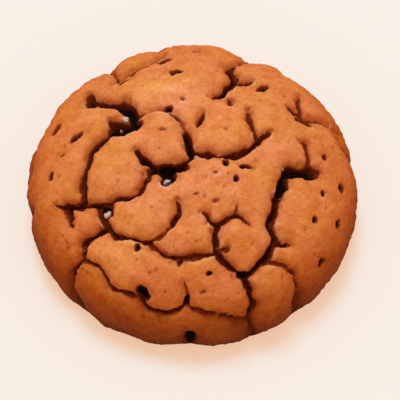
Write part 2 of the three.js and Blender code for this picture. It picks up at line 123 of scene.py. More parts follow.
# The front's routes are written where the photograph shows the cracks, as if they had no
# depth. SightLine works out how far each point moves so that the sunk floor is seen there.
FRONT_CRACKS = (
    Crack("north-west seam", 2.5, 2.5, ((-22, 16.5), (-21.5, 12.5), (-17, 10.8), (-13.5, 10))),
    Crack("north-west bar", 2.3, 2.4, ((-13.8, 10), (-12.6, 8.5), (-12.2, 5.5), (-12.8, 3))),
    Crack("north-west tail", 2.2, 2.2, ((-13.5, 4.5), (-17.5, 5.7))),
    Crack("saddle start", 1, 1, ((-12.4, 5.5), (-10.3, 7.1))),
    Crack("saddle", 0.9, 0.6, ((-10.3, 7.1), (-7.5, 7.7), (-4.5, 7), (-2.8, 5))),
    Crack("saddle end", 0.8, 0.4, ((-2.8, 5), (-1.9, 3), (-1.5, 1.2))),
    Crack("crown lip", 1.3, 1.1, ((-4.8, 24.8), (-9, 23.2), (-12, 21.2), (-17, 16.8))),
    Crack("crown notch", 1, 0.7, ((-15.5, 18.2), (-17.2, 22.6), (-18.6, 26), (-20, 29.5))),
    Crack("north tick", 0.9, 0.5, ((-6.6, 26.3), (-7.2, 31))),
    Crack("crown", 2, 2.2, ((7.8, 20.7), (8.6, 16.5), (6, 12.6), (3.6, 9.8))),
    Crack("crown cheek", 1.3, 1.1, ((7.7, 19.6), (9.5, 22.9), (12, 26.5), (15, 33))),
    Crack("crown east", 2.1, 2, ((8.6, 16), (11, 16.2), (13, 17))),
    Crack("brow", 1.3, 1.1, ((0.8, 2.8), (1.7, 4.9), (2.7, 6.8))),
    Crack("north hairline", 1.2, 0.8, ((7.3, 11.4), (8, 10), (9.2, 9))),
    Crack("north-east", 2, 1.9, ((19, 10.8), (21.3, 9.9), (23.1, 9.1), (25.2, 7))),
    Crack("north-east spur", 1.1, 0.9, ((23.2, 16), (23.2, 13), (23.3, 9.5))),
    Crack("north-east rim", 1, 0.9, ((24.5, 8.8), (29, 10.2), (34.5, 10.6))),
    Crack("centre cleft", 1.8, 2.2,
          ((-1.5, 1.3), (-0.4, -2), (-0.6, -5), (-4.5, -6.7), (-9.2, -5.2), (-11.7, -1.8))),
    Crack("centre hole", 1.8, 2.2, ((-5, -7.5), (-5, -10.5))),
    Crack("centre east", 1.5, 1.7,
          ((-0.5, -2.7), (4, -3.4), (7.5, -3.6), (11.5, -1.6), (14.3, 1.3), (16.3, 3.6))),
    Crack("hook", 1.2, 1.1, ((11, 8), (11.7, 5.7), (12.3, 3.5), (13.3, 0.3))),
    Crack("west", 1.4, 1.6, ((-14.5, 3.5), (-19.5, 0.5), (-21, -2.5), (-22.5, -8), (-22.5, -12.5))),
    Crack("west belt", 1.6, 1.8, ((-29, -11.5), (-26.5, -12.5), (-19, -13.5))),
    Crack("west belt rise", 1.2, 1.2, ((-19, -13.5), (-11.5, -12.5), (-9.5, -10), (-8.5, -6.5))),
    Crack("west spur", 2, 2.1, ((-26.5, -12.5), (-25.5, -16), (-24.5, -17.8))),
    Crack("west triangle", 1.1, 1.2, ((-16.5, -14), (-16.5, -15.5), (-17.5, -17))),
    Crack("inner south-west", 1.2, 1.3,
          ((-19.5, -13.5), (-19, -15.5), (-17, -19), (-15, -21), (-8.5, -22.5))),
    Crack("inner rise", 0.8, 0.6, ((-8.5, -22.5), (-6, -21.2), (-3.7, -19))),
    Crack("inner rise top", 1.3, 1.4, ((-3.7, -19), (-2.9, -17), (-3, -13.8))),
    Crack("south-west", 1.3, 1.6,
          ((-17, -19), (-22.7, -21), (-23.3, -23.5), (-28.5, -28), (-29.5, -31), (-30, -35))),
    Crack("belly top", 1, 0.9,
          ((-23.3, -24.3), (-19.5, -26.8), (-17.8, -30.2), (-15.3, -32), (-11, -32.8))),
    Crack("south belt", 1.1, 1.4,
          ((-11, -32.5), (-10.3, -35.3), (-7.3, -36.9), (-3.5, -36.6), (-1.3, -34.8))),
    Crack("belly rise", 0.7, 0.5, ((-1.3, -34.8), (-1.1, -32.3), (-1.3, -29.5))),
    Crack("south belt east", 1, 0.8, ((-1.3, -35.3), (2.7, -36.7), (7.3, -37.7), (13, -38.7))),
    Crack("inner south", 1.1, 1, ((-8.5, -22.5), (-7, -24.5), (-2.5, -26), (4.5, -25))),
    Crack("south notch", 1.6, 1.5, ((-0.6, -39.5), (-0.4, -42.5), (-0.6, -48))),
    Crack("heart", 1.2, 1.3, ((1.5, -16), (5, -19), (9, -17), (12, -19.5))),
    Crack("south-east", 1.4, 1.6,
          ((5, -19), (5, -25), (10, -29), (11.8, -31.5), (13.4, -34.3), (12.8, -37.6))),
    Crack("south-east foot", 1, 0.9, ((12.8, -37.6), (14.8, -41.2), (16.4, -44.6))),
    Crack("south-east stub", 0.9, 0.8, ((5, -24), (7.6, -24.1))),
    Crack("east ring", 1.5, 1.9, ((10.5, -29.5), (15.5, -25), (16.8, -21.5), (15.9, -18.5), (17, -15.5))),
    Crack("east ring top", 1.7, 1.9, ((17, -15.5), (17.5, -12.5), (18.1, -9.5), (19, -6.5))),
    Crack("east ring stub", 1.6, 1.5, ((16.8, -22), (20.5, -21.9))),
    Crack("east cleft", 2.1, 2.3, ((18.8, -8), (19.6, -5.6), (23, -4.9), (27.5, -5.2))),
    Crack("east hairline", 1, 0.8, ((24, -5), (23.7, 1), (21, 1.8))),
    Crack("lower east", 0.9, 0.7,
          ((15.5, -25.8), (19.5, -26.2), (22, -28.2), (24.3, -31), (26.5, -34), (29.5, -38))),
    Crack("west rim", 0.9, 0.9, ((-35, -8.5), (-38, -9), (-44, -7))),
    Crack("east rim", 1, 1.1, ((31, 12), (33, 7), (38, 5), (44, 6))),
)

BACK_CRACKS = (
    Crack("north trunk", 1.4, 1.8, ((9.5, 33), (10.2, 36), (8.5, 42), (9.5, 48))),
    Crack("north belt", 1.1, 1.5,
          ((9.5, 34), (4, 36), (-2, 34), (-7, 33), (-13, 35), (-20, 31.5), (-25, 26))),
    Crack("north drop", 1, 1.3, ((-13, 35), (-14.5, 40), (-12, 46))),
    Crack("north shelf", 0.8, 0.9, ((-14.5, 40), (-5, 40), (-1, 42.5))),
    Crack("north-west drop", 1, 1.4, ((-20, 31.5), (-25, 34), (-27, 40))),
    Crack("north-west flank", 1.1, 1.5, ((-25, 26), (-30, 23), (-34, 21), (-38, 15), (-42, 12), (-47, 13))),
    Crack("west drop", 0.8, 0.9, ((-38, 15), (-38.5, 8), (-41, 2))),
    Crack("north-east belt", 1.1, 1.5,
          ((10, 35.5), (16.5, 35), (21.5, 32), (26, 30.5), (30, 31.5), (35, 35))),
    Crack("north-east notch", 0.9, 0.9, ((21.5, 32), (23, 27), (22.5, 23.5))),
    Crack("north-east shelf", 0.9, 1, ((16.5, 35), (20, 38), (20, 43))),
    Crack("east flank", 1, 1.3, ((26, 30.5), (33, 27), (39, 24.5), (45, 19))),
    Crack("south-east flank", 0.8, 1, ((43.5, -25), (45.5, -20), (47, -14))),
    Crack("south-west flank", 0.8, 1, ((-41, -27), (-44.5, -22.5), (-47, -16))),
)

HOLLOWS = (
    Oval((-13.9, 4.9), 8, 4.1, 8, 2.8),  # north-west hollow
    Oval((-5, -5.9), 9.5, 3, 4, 2.8),  # centre hollow
    Oval((-4.8, -8.6), 4, 3.2, 60, 2.4),  # centre pit
    Oval((23.9, 8.7), 4, 2.2, -25, 1.8),  # north-east hollow
    Oval((23.2, -5.1), 8.6, 2.8, 4, 2.6),  # east hollow
    Oval((18.6, -8.8), 5.5, 2.8, 72, 2.4),  # east corner
    Oval((-18.2, -14.6), 4, 3.2, -30, 2.1),  # west triangle
    Oval((-20, 0.3), 2.4, 1.9, 0, 1.6),  # west hollow
    Oval((10.8, -29.2), 3.2, 2.2, 20, 2),  # ring junction
    Oval((-11, -32.8), 4.2, 3.2, -60, 2.2),  # south hollow
    Oval((-1.2, -35), 2.6, 1.9, 80, 1.6),  # belly junction
    Oval((-0.6, -47.6), 10, 4.4, 90, 2.2),  # south notch
    Oval((26.6, -34.4), 5.5, 2.8, -65, 1.8),  # lower east notch
)

SPECKS = (
    Oval((-3.4, 19.1), 3.1, 1.8, 0),
    Oval((-5, 9.5), 2.2, 1.5, 0),
    Oval((-30.5, -4), 2.2, 1.6, 90),
    Oval((-29.9, 8.9), 3.3, 2.1, 60),
    Oval((-24.6, 4.2), 4.2, 1.9, 42),
    Oval((28.3, 0.3), 2.2, 1.3, 80),
    Oval((27.5, -9), 2, 0.9, 80),
    Oval((25.7, -15.5), 2.2, 1.6, 60),
    Oval((32.7, -14.3), 3.1, 1.5, 60),
    Oval((33.1, -5.7), 2.9, 1.7, 75),
    Oval((29.5, -23.7), 2.8, 1.8, 65),
    Oval((9, -8.3), 2.3, 1.1, 90),
    Oval((10.9, -5.5), 2.9, 1.4, 10),
    Oval((3.5, -29), 2.2, 1.4, 0),
    Oval((14.9, 16.2), 3.6, 2.3, 30),
    Oval((-6.2, 23.5), 3.5, 2, 15),
    Oval((-15, 18.3), 2.8, 1.5, 30),
    Oval((-11.5, -23.2), 2.1, 1.5, 80),
    Oval((-2.5, -26.6), 1.9, 1.3, 80),
    Oval((6.9, -4.6), 2.3, 1.6, 90),
)

FAINT_SPECKS = (
    Oval((9, -15), 2, 1.3, 90, 0.4),
    Oval((4.7, -13.7), 1.9, 1.6, 0, 0.4),
    Oval((0.7, -12.3), 1.9, 1.2, 0, 0.4),
    Oval((-2, 11.3), 1.7, 1.1, 0, 0.4),
    Oval((-6, 2.8), 1.9, 1.3, 0, 0.4),
    Oval((4.7, -7.5), 1.6, 1, 0, 0.4),
    Oval((2.3, -32.7), 2, 1.1, 10, 0.4),
    Oval((0.9, 26.9), 1.8, 1, 0, 0.4),
    Oval((-27.8, 0.4), 1.5, 1.1, 60, 0.4),
)

SWELLS = (
    Swell((-6, 1), 1.1, 5.5),  # knob
    Swell((-4, 15), 0.5, 8),  # crown
    Swell((-15, -7), 0.7, 6.5),  # west plate
    Swell((-9, -17.5), 0.6, 5),  # inner plate
    Swell((10.5, -23.5), 0.6, 5),  # heart plate
    Swell((25, -15), 0.6, 8),  # east plate
    Swell((-9, -29), 0.5, 7),  # belly
    Swell((19, -33), 0.7, 6),  # south-east plate
    Swell((9, 4), 0.5, 6),  # north-east plate
    Swell((-2, 30), 1.15, 10),  # north outline
    Swell((14.7, 32), -0.6, 2.5),  # north-east notch
    Swell((-25.5, 25.5), 0.3, 4),  # north-west outline
    Swell((-30, 18), 0.4, 7),  # west shoulder
    Swell((-35.7, 15.3), -0.8, 3.5),  # west dip
    Swell((-39.5, 8), 0.8, 3.5),  # west outline
    Swell((-40, -27), 0.3, 5),  # south-west bulge
    Swell((-33.5, -36.5), 0.15, 6),  # south-west outline
    Swell((-25.3, -42.7), 0.55, 3),  # south-west foot
    Swell((-11.5, -48.5), 0.55, 4.5),  # south bulge
    Swell((6, -44), 0.35, 7),  # south outline
    Swell((17.6, -46.8), 0.85, 4),  # south-east foot
    Swell((25.5, -43), 0.2, 4),  # south-east outline
    Swell((40, 2), -0.2, 4),  # east dip
)

LODGED_CRUMBS = (
    Crumb((-5.6, -7.9), 0.85, CrumbTone.PALE),
    Crumb((-4.3, -8.7), 0.4, CrumbTone.BROWN),
    Crumb((-18.2, -14.7), 0.75, CrumbTone.PALE),
    Crumb((-14.3, 7.3), 0.65, CrumbTone.PALE),
    Crumb((-15.4, 6.2), 0.4, CrumbTone.GOLDEN),
)

# Paler and browner patches: partly uneven baking, partly painted light and shade, such as the paler crown
# and the browner west foot.
PATCHES = (
    Patch("south-east plate", (19, -33), 0.5, 8),
    Patch("belly foot", (-4, -39), 0.35, 7),
    Patch("south-east foot", (9, -42), 0.4, 7),
    Patch("west foot", (-34, -18), -0.5, 7),
    Patch("north plate", (5, 14), -0.4, 5),
    Patch("north-west plate", (-19, 12), 0.4, 6),
    Patch("crown", (-5, 13), 0.8, 6),
    Patch("top", (8, 4.5), -0.3, 4),
    Patch("north rim", (2, 28), -0.3, 5),
    Patch("belly", (-17, -25), 0.8, 6),
    Patch("inner plate", (-9, -16), 0.3, 5),
    Patch("heart plate", (10.5, -23.5), -0.6, 4),
    Patch("east shoulder", (26, 0), -0.35, 6),
    Patch("east foot", (31, -20), -0.4, 6),
)


# ---- Small shared tools ----


def smoothstep(low: float, high: float, value: np.ndarray) -> np.ndarray:
    """Rises smoothly from 0 at low to 1 at high.

    Args:
        low: Value at and below which the result is 0.
        high: Value at and above which the result is 1.
        value: Values to grade.

    Returns:
        3t^2 - 2t^3, where t is the share of the way from low to high.
    """
    share = np.clip((value - low) / (high - low), 0.0, 1.0)
    return share * share * (3.0 - 2.0 * share)


def smooth_route(route: tuple[Place, ...], spacing: float) -> np.ndarray:
    """Runs a smooth curve through the points of a route.

    Each stretch between two points is a cubic whose slope at a point is half the step
    from the point before it to the point after it. At the ends, the end point counts twice.

    Args:
        route: Points on the crust map, in mm.
        spacing: Distance between the samples, in mm.

    Returns:
        Samples along the curve, one row each.
    """
    points = np.asarray(route, dtype=float)
    padded = np.vstack([points[:1], points, points[-1:]])
    pieces = []
    for before, start, end, after in zip(padded, padded[1:], padded[2:], padded[3:]):
        count = max(2, round(float(np.linalg.norm(end - start)) / spacing))
        t = np.linspace(0.0, 1.0, count, endpoint=False)[:, None]
        pieces.append(
            0.5 * (2 * start + (end - before) * t
                   + (2 * before - 5 * start + 4 * end - after) * t ** 2
                   + (3 * start - before - 3 * end + after) * t ** 3)
        )
    return np.vstack([*pieces, points[-1:]])


def unit_rows(rows: np.ndarray) -> np.ndarray:
    """Scales each row to length 1."""
    return rows / np.linalg.norm(rows, axis=-1, keepdims=True)


def grid_quads(rows: int, columns: int) -> np.ndarray:
    """Faces between the points of a grid that is numbered row by row.

    Args:
        rows: Number of points in a column.
        columns: Number of points in a row.

    Returns:
        Four point numbers for each face, anticlockwise where columns run right and rows up.
    """
    corner = (np.arange(rows - 1)[:, None] * columns + np.arange(columns - 1)).ravel()
    return np.column_stack([corner, corner + 1, corner + columns + 1, corner + columns])


def add_mesh(name: str, points: np.ndarray, faces: list[list[int]]) -> bpy.types.Object:
    """Adds a mesh object at the origin.

    Args:
        name: Name of the object and of its mesh.
        points: Rows of (x, y, z), in metres.
        faces: Point numbers of each face.

    Returns:
        The object, linked to the scene.
    """
    mesh = bpy.data.meshes.new(name)
    mesh.from_pydata(points.tolist(), [], faces)
    mesh.update()
    piece = bpy.data.objects.new(name, mesh)
    bpy.context.scene.collection.objects.link(piece)
    return piece


def set_attribute(piece: bpy.types.Object, name: str, values: np.ndarray) -> None:
    """Stores one number for each point of a piece."""
    layer = piece.data.attributes.new(name, "FLOAT", "POINT")
    layer.data.foreach_set("value", values.astype(np.float32))


class Ripple:
    """A smooth uneven field: many plane waves of about one length, in random directions."""

    def __init__(self, rng: np.random.Generator, length: float, waves: int = 28) -> None:
        """Draws the waves.

        Args:
            rng: Seeded source of the draws.
            length: Middle wavelength, in metres.
            waves: Number of plane waves.
        """
        lengths = length * rng.uniform(0.7, 1.5, size=(waves, 1))
        self.vectors = unit_rows(rng.normal(size=(waves, 3))) * (2 * math.pi / lengths)
        self.phases = rng.uniform(0.0, 2 * math.pi, size=waves)
        self.scale = math.sqrt(2.0 / waves)

    def at(self, points: np.ndarray) -> np.ndarray:
        """Sum of the sines of (wave vector . point + phase), scaled to a spread of about 1.

        Args:
            points: Points in metres, one row each.

        Returns:
            One value for each point.
        """
        total = np.zeros(len(points))
        for vector, phase in zip(self.vectors, self.phases):
            total += np.sin(points @ vector + phase)
        return total * self.scale


# ---- The plain mound ----


@dataclass(frozen=True)
class Mound:
    """The cookie without its relief: a side profile turned about the upright axis."""

    widest_radius: float = 35 * MM
    height: float = 26 * MM
    underside_radius: float = 32 * MM
    widest_height: float = 6.5 * MM
    crown_fullness: float = 0.64
    shoulder_fullness: float = 0.7
    flank_fullness: float = 0.55
    toe_fullness: float = 0.5
    profile_samples: int = 600

    def profile(self) -> tuple[np.ndarray, np.ndarray]:
        """The half section, as two cubic curves that meet on the widest line.

        Returns:
            Points (radius, height) from the summit to the edge of the underside, and the
            distance of each from the summit along the profile.
        """
        radius, low, rim = self.widest_radius, self.widest_height, self.underside_radius
        rise = self.height - low
        upper = ((0.0, self.height), (self.crown_fullness * radius, self.height),
                 (radius, low + self.shoulder_fullness * rise), (radius, low))
        lower = ((radius, low), (radius, low * (1 - self.flank_fullness)),
                 (rim + self.toe_fullness * (radius - rim), 0.0), (rim, 0.0))
        t = np.linspace(0.0, 1.0, self.profile_samples)[:, None]
        halves = [
            (1 - t) ** 3 * np.array(a) + 3 * (1 - t) ** 2 * t * np.array(b)
            + 3 * (1 - t) * t ** 2 * np.array(c) + t ** 3 * np.array(d)
            for a, b, c, d in (upper, lower)
        ]
        points = np.vstack([halves[0], halves[1][1:]])
        steps = np.linalg.norm(np.diff(points, axis=0), axis=1)
        return points, np.concatenate([[0.0], np.cumsum(steps)])

    def reach(self) -> float:
        """Distance over the crust from the summit to the edge of the underside."""
        return float(self.profile()[1][-1])

    def lift(self, places: np.ndarray) -> tuple[np.ndarray, np.ndarray]:
        """Points of the mound at places on the crust map, and the way out of it there.

        The distance from the summit picks a point of the profile, and the bearing turns it
        about the upright axis.

        Args:
            places: Rows of (east, north), in metres.

        Returns:
            The points, and unit normals that point outwards.
        """
        points, along = self.profile()
        slope = np.gradient(points, along, axis=0)
        distance = np.hypot(places[:, 0], places[:, 1])
        bearing = np.arctan2(places[:, 1], places[:, 0])
        turned = np.stack([np.cos(bearing), np.sin(bearing)], axis=1)

        def spin(across: np.ndarray, up: np.ndarray) -> np.ndarray:
            """Turns section values about the upright axis to each bearing."""
            return np.column_stack([
                turned * np.interp(distance, along, across)[:, None],
                np.interp(distance, along, up),
            ])

        return spin(points[:, 0], points[:, 1]), unit_rows(spin(-slope[:, 1], slope[:, 0]))


# ---- The grid of the crust map ----


@dataclass(frozen=True)
class MapGrid:
    """A square grid wrapped on the crust map, with its lines drawn together at the cracks."""

    reach: float
    cells: int = 304
    passes: int = 150
    pull: float = 1.4
    pull_reach: float = 1.0 * MM
    raster_step: float = 0.25 * MM

    def wrapped(self) -> np.ndarray:
        """Wraps the grid so that each of its square rings is a circle round the summit.

        In the quarter where |a| > |b| the radius is a and the bearing a quarter turn times
        b / 2a. Elsewhere a and b change places and the bearing is taken from a quarter turn.

        Returns:
            (east, north) of each corner in metres, as an array of rows and columns.
        """
        side = np.linspace(-1.0, 1.0, self.cells + 1)
        a, b = np.meshgrid(side, side)
        wide = np.abs(a) > np.abs(b)
        radius = np.where(wide, a, b)
        divisor = np.where(radius == 0.0, 1.0, radius)
        turn = np.where(wide, b, a) / divisor * (math.pi / 4)
        bearing = np.where(wide, turn, math.pi / 2 - turn)
        course = np.stack([np.cos(bearing), np.sin(bearing)], axis=-1)
        return course * (radius * self.reach)[..., None]

    def weights(self, dense: np.ndarray) -> np.ndarray:
        """Draws on a raster how strongly each place pulls: 1 + pull * exp(-(d / reach)^2).

        Args:
            dense: Places that pull, in metres, where d is the distance to the closest.

        Returns:
            The raster, whose first index is north and whose middle is the summit.
        """
        half = math.ceil(self.reach / self.raster_step) + 2
        raster = np.ones((2 * half + 1, 2 * half + 1))
        window = math.ceil(2 * self.pull_reach / self.raster_step)
        around = np.arange(-window, window + 1)
        for east, north in dense / self.raster_step + half:
            columns = np.clip(round(east) + around, 0, 2 * half)
            rows = np.clip(round(north) + around, 0, 2 * half)
            gap = np.hypot(columns - east, (rows - north)[:, None]) * self.raster_step
            pull = 1.0 + self.pull * np.exp(-((gap / self.pull_reach) ** 2))
            block = np.ix_(rows, columns)
            raster[block] = np.maximum(raster[block], pull)
        return raster

    def drawn_together(self, dense: np.ndarray) -> np.ndarray:
        """Moves each inner corner, pass by pass, to the weighted mean of its four neighbours.

        A neighbour weighs what the raster says at its place, so the cells shrink where the
        weights are high.

        Args:
            dense: Places that pull the grid together, in metres.

        Returns:
            Rows of (east, north), in metres, row by row through the grid.
        """
        raster = self.weights(dense)
        half = len(raster) // 2
        places = self.wrapped()
        sides = ((slice(0, -2), slice(1, -1)), (slice(2, None), slice(1, -1)),
                 (slice(1, -1), slice(0, -2)), (slice(1, -1), slice(2, None)))
        for _ in range(self.passes):
            column, row = np.rint(places / self.raster_step + half).astype(int).transpose(2, 0, 1)
            weight = raster[row, column][..., None]
            total = sum(weight[side] for side in sides)
            places[1:-1, 1:-1] = sum(weight[side] * places[side] for side in sides) / total
        return places.reshape(-1, 2)

    def rim_loop(self) -> np.ndarray:
        """Walks round the outside of the grid.

        Returns:
            Numbers of the grid's outer corners, anticlockwise seen from above.
        """
        row = self.cells + 1
        side = np.arange(self.cells)
        return np.concatenate([
            side, side * row + self.cells, row * row - 1 - side, (self.cells - side) * row,
        ])


# ---- The photograph's angle ----


@dataclass(frozen=True)
class PhotoView:
    """Where the photograph was taken from, and how large it shows the cookie."""

    elevation: float = 56.0
    distance: float = 420 * MM
    target_height: float = 10.4 * MM
    pixels_per_mm: float = 4.7376

    def seen(self, points: np.ndarray) -> np.ndarray:
        """Where points are seen in the picture.

        A point that is n nearer than the camera's target is shown larger, by
        distance / (distance - n).

        Args:
            points: Points in metres, one row each.

        Returns:
            Pixels to the right of the target and above it, one row each.
        """
        rise = math.radians(self.elevation)
        height = points[:, 2] - self.target_height
        up = points[:, 1] * math.sin(rise) + height * math.cos(rise)
        nearer = height * math.sin(rise) - points[:, 1] * math.cos(rise)
        size = self.pixels_per_mm / MM * self.distance / (self.distance - nearer)
        return np.column_stack([points[:, 0], up]) * size[:, None]


@dataclass(frozen=True)
class SightLine:
    """Moves the front's routes, so that a floor sunk below the crust is seen on its route."""

    mound: Mound
    view: PhotoView = PhotoView()
    sink: float = 1.7 * MM
    longest_move: float = 2 * MM
    farthest: float = 40 * MM
    farthest_north: float = 22 * MM
    feeler: float = 0.1 * MM
    longest_step: float = 1 * MM
    steps: int = 12
    decimals: int = 1

    def gap(self, places: np.ndarray, aims: np.ndarray) -> np.ndarray:
        """How far from the aims the floors below the places are seen, in pixels."""
        points, normals = self.mound.lift(places)
        return self.view.seen(points - normals * self.sink) - aims

    def moves(self, places: np.ndarray) -> np.ndarray:
        """Finds, step by step, how far each place has to move over the crust.

        Each step is the gap divided by the slopes of the gap towards the east and the
        north. Places farther out than farthest, or farthest_north, move as the closest place
        inside does. Beside the outline the floor may be seen nowhere near the aim. The
        search ends there after the last step, at no more than longest_move.

        Args:
            places: Rows of (east, north), in metres.

        Returns:
            Rows of moves to the east and to the north, in metres.
        """
        start = places * np.minimum(1.0, self.farthest / np.hypot(*places.T))[:, None]
        start[:, 1] = np.minimum(start[:, 1], self.farthest_north)
        aims = self.view.seen(self.mound.lift(start)[0])
        found = start.copy()
        for _ in range(self.steps):
            slopes = np.stack([
                (self.gap(found + feeler, aims) - self.gap(found - feeler, aims)) / (2 * self.feeler)
                for feeler in np.eye(2) * self.feeler], axis=-1)
            step = -np.linalg.solve(slopes, self.gap(found, aims)[..., None])[..., 0]
            found += step / np.maximum(np.hypot(*step.T) / self.longest_step, 1.0)[:, None]
        move = found - start
        return move / np.maximum(np.hypot(*move.T) / self.longest_move, 1.0)[:, None]

    def aligned(self, cracks: tuple[Crack, ...]) -> tuple[Crack, ...]:
        """Moves the cracks' routes.

        Args:
            cracks: Cracks whose routes are where the photograph shows them.

        Returns:
            The same cracks with moved routes, to a tenth of a millimetre as in the solid.
        """
        moved = []
        for crack in cracks:
            places = np.array(crack.route) * MM
            route = np.round((places + self.moves(places)) / MM, self.decimals)
            moved.append(replace(crack, route=tuple(map(tuple, route))))
        return tuple(moved)


# ---- Cracks laid on the mound ----


@dataclass(frozen=True)
class LaidCrack:
    """A crack as a chain of short straight steps on the mound, all in metres."""

    places: np.ndarray
    chain: np.ndarray
    opening: np.ndarray
    width: float
    depth: float

    def measure(self, points: np.ndarray) -> tuple[np.ndarray, np.ndarray, np.ndarray]:
        """Distance from points to the chain, the least of those to its straight steps.

        Args:
            points: Points to measure from.

        Returns:
            The distance of each point, the unit course from it to the closest place of the
            chain, and the opening there.
        """
        best = np.full(len(points), np.inf)
        toward = np.zeros_like(points)
        wide = np.zeros(len(points))
        steps = zip(self.chain, self.chain[1:], self.opening, self.opening[1:])
        for start, end, open_start, open_end in steps:
            step = end - start
            along = np.clip((points - start) @ step / (step @ step), 0.0, 1.0)
            offset = start + along[:, None] * step - points
            distance = np.linalg.norm(offset, axis=1)
            closer = distance < best
            best[closer] = distance[closer]
            toward[closer] = offset[closer]
            wide[closer] = (open_start + along * (open_end - open_start))[closer]
        return best, toward / np.maximum(best, 1e-9)[:, None], wide


@dataclass(frozen=True)
class CrackLayer:
    """Lays the routes of the cracks on the mound and narrows their free ends."""

    mound: Mound
    station_spacing: float = 0.5 * MM
    free_end_taper: float = 3.5 * MM
    free_end_share: float = 0.4
    meeting_distance: float = 1.4 * MM
    run_off_distance: float = 8 * MM

    def opening(self, places: np.ndarray, chain: np.ndarray, others: np.ndarray) -> np.ndarray:
        """How open a crack is: 1, but narrowing as a square root to an end that stops alone.

        An end that meets another crack, or runs off over the foot, stays open.

        Args:
            places: Places along the crack on the crust map.
            chain: Points along the crack.
            others: Points along all other cracks.

        Returns:
            The opening at each point of the chain, from 0 to 1.
        """
        steps = np.linalg.norm(np.diff(chain, axis=0), axis=1)
        along = np.concatenate([[0.0], np.cumsum(steps)])
        taper = min(self.free_end_taper, self.free_end_share * along[-1])
        opening = np.ones(len(chain))
        for end, run in ((0, along), (-1, along[-1] - along)):
            meets = np.linalg.norm(others - chain[end], axis=1).min() < self.meeting_distance
            runs_off = self.mound.reach() - np.hypot(*places[end]) < self.run_off_distance
            if not (meets or runs_off):
                opening = np.minimum(opening, np.sqrt(np.clip(run / taper, 0.0, 1.0)))
        return opening

    def lay(self, cracks: tuple[Crack, ...]) -> list[LaidCrack]:
        """Lays the cracks.

        Args:
            cracks: The cracks, in mm on the crust map.

        Returns:
            One laid crack for each, in the same order.
        """
        routes = [smooth_route(crack.route, self.station_spacing / MM) * MM for crack in cracks]
        chains = [self.mound.lift(route)[0] for route in routes]
        laid = []
        for index, (crack, places, chain) in enumerate(zip(cracks, routes, chains)):
            others = np.vstack(chains[:index] + chains[index + 1:])
            opening = self.opening(places, chain, others)
            laid.append(LaidCrack(places, chain, opening, crack.width * MM, crack.depth * MM))
        return laid


# ---- The crust ----


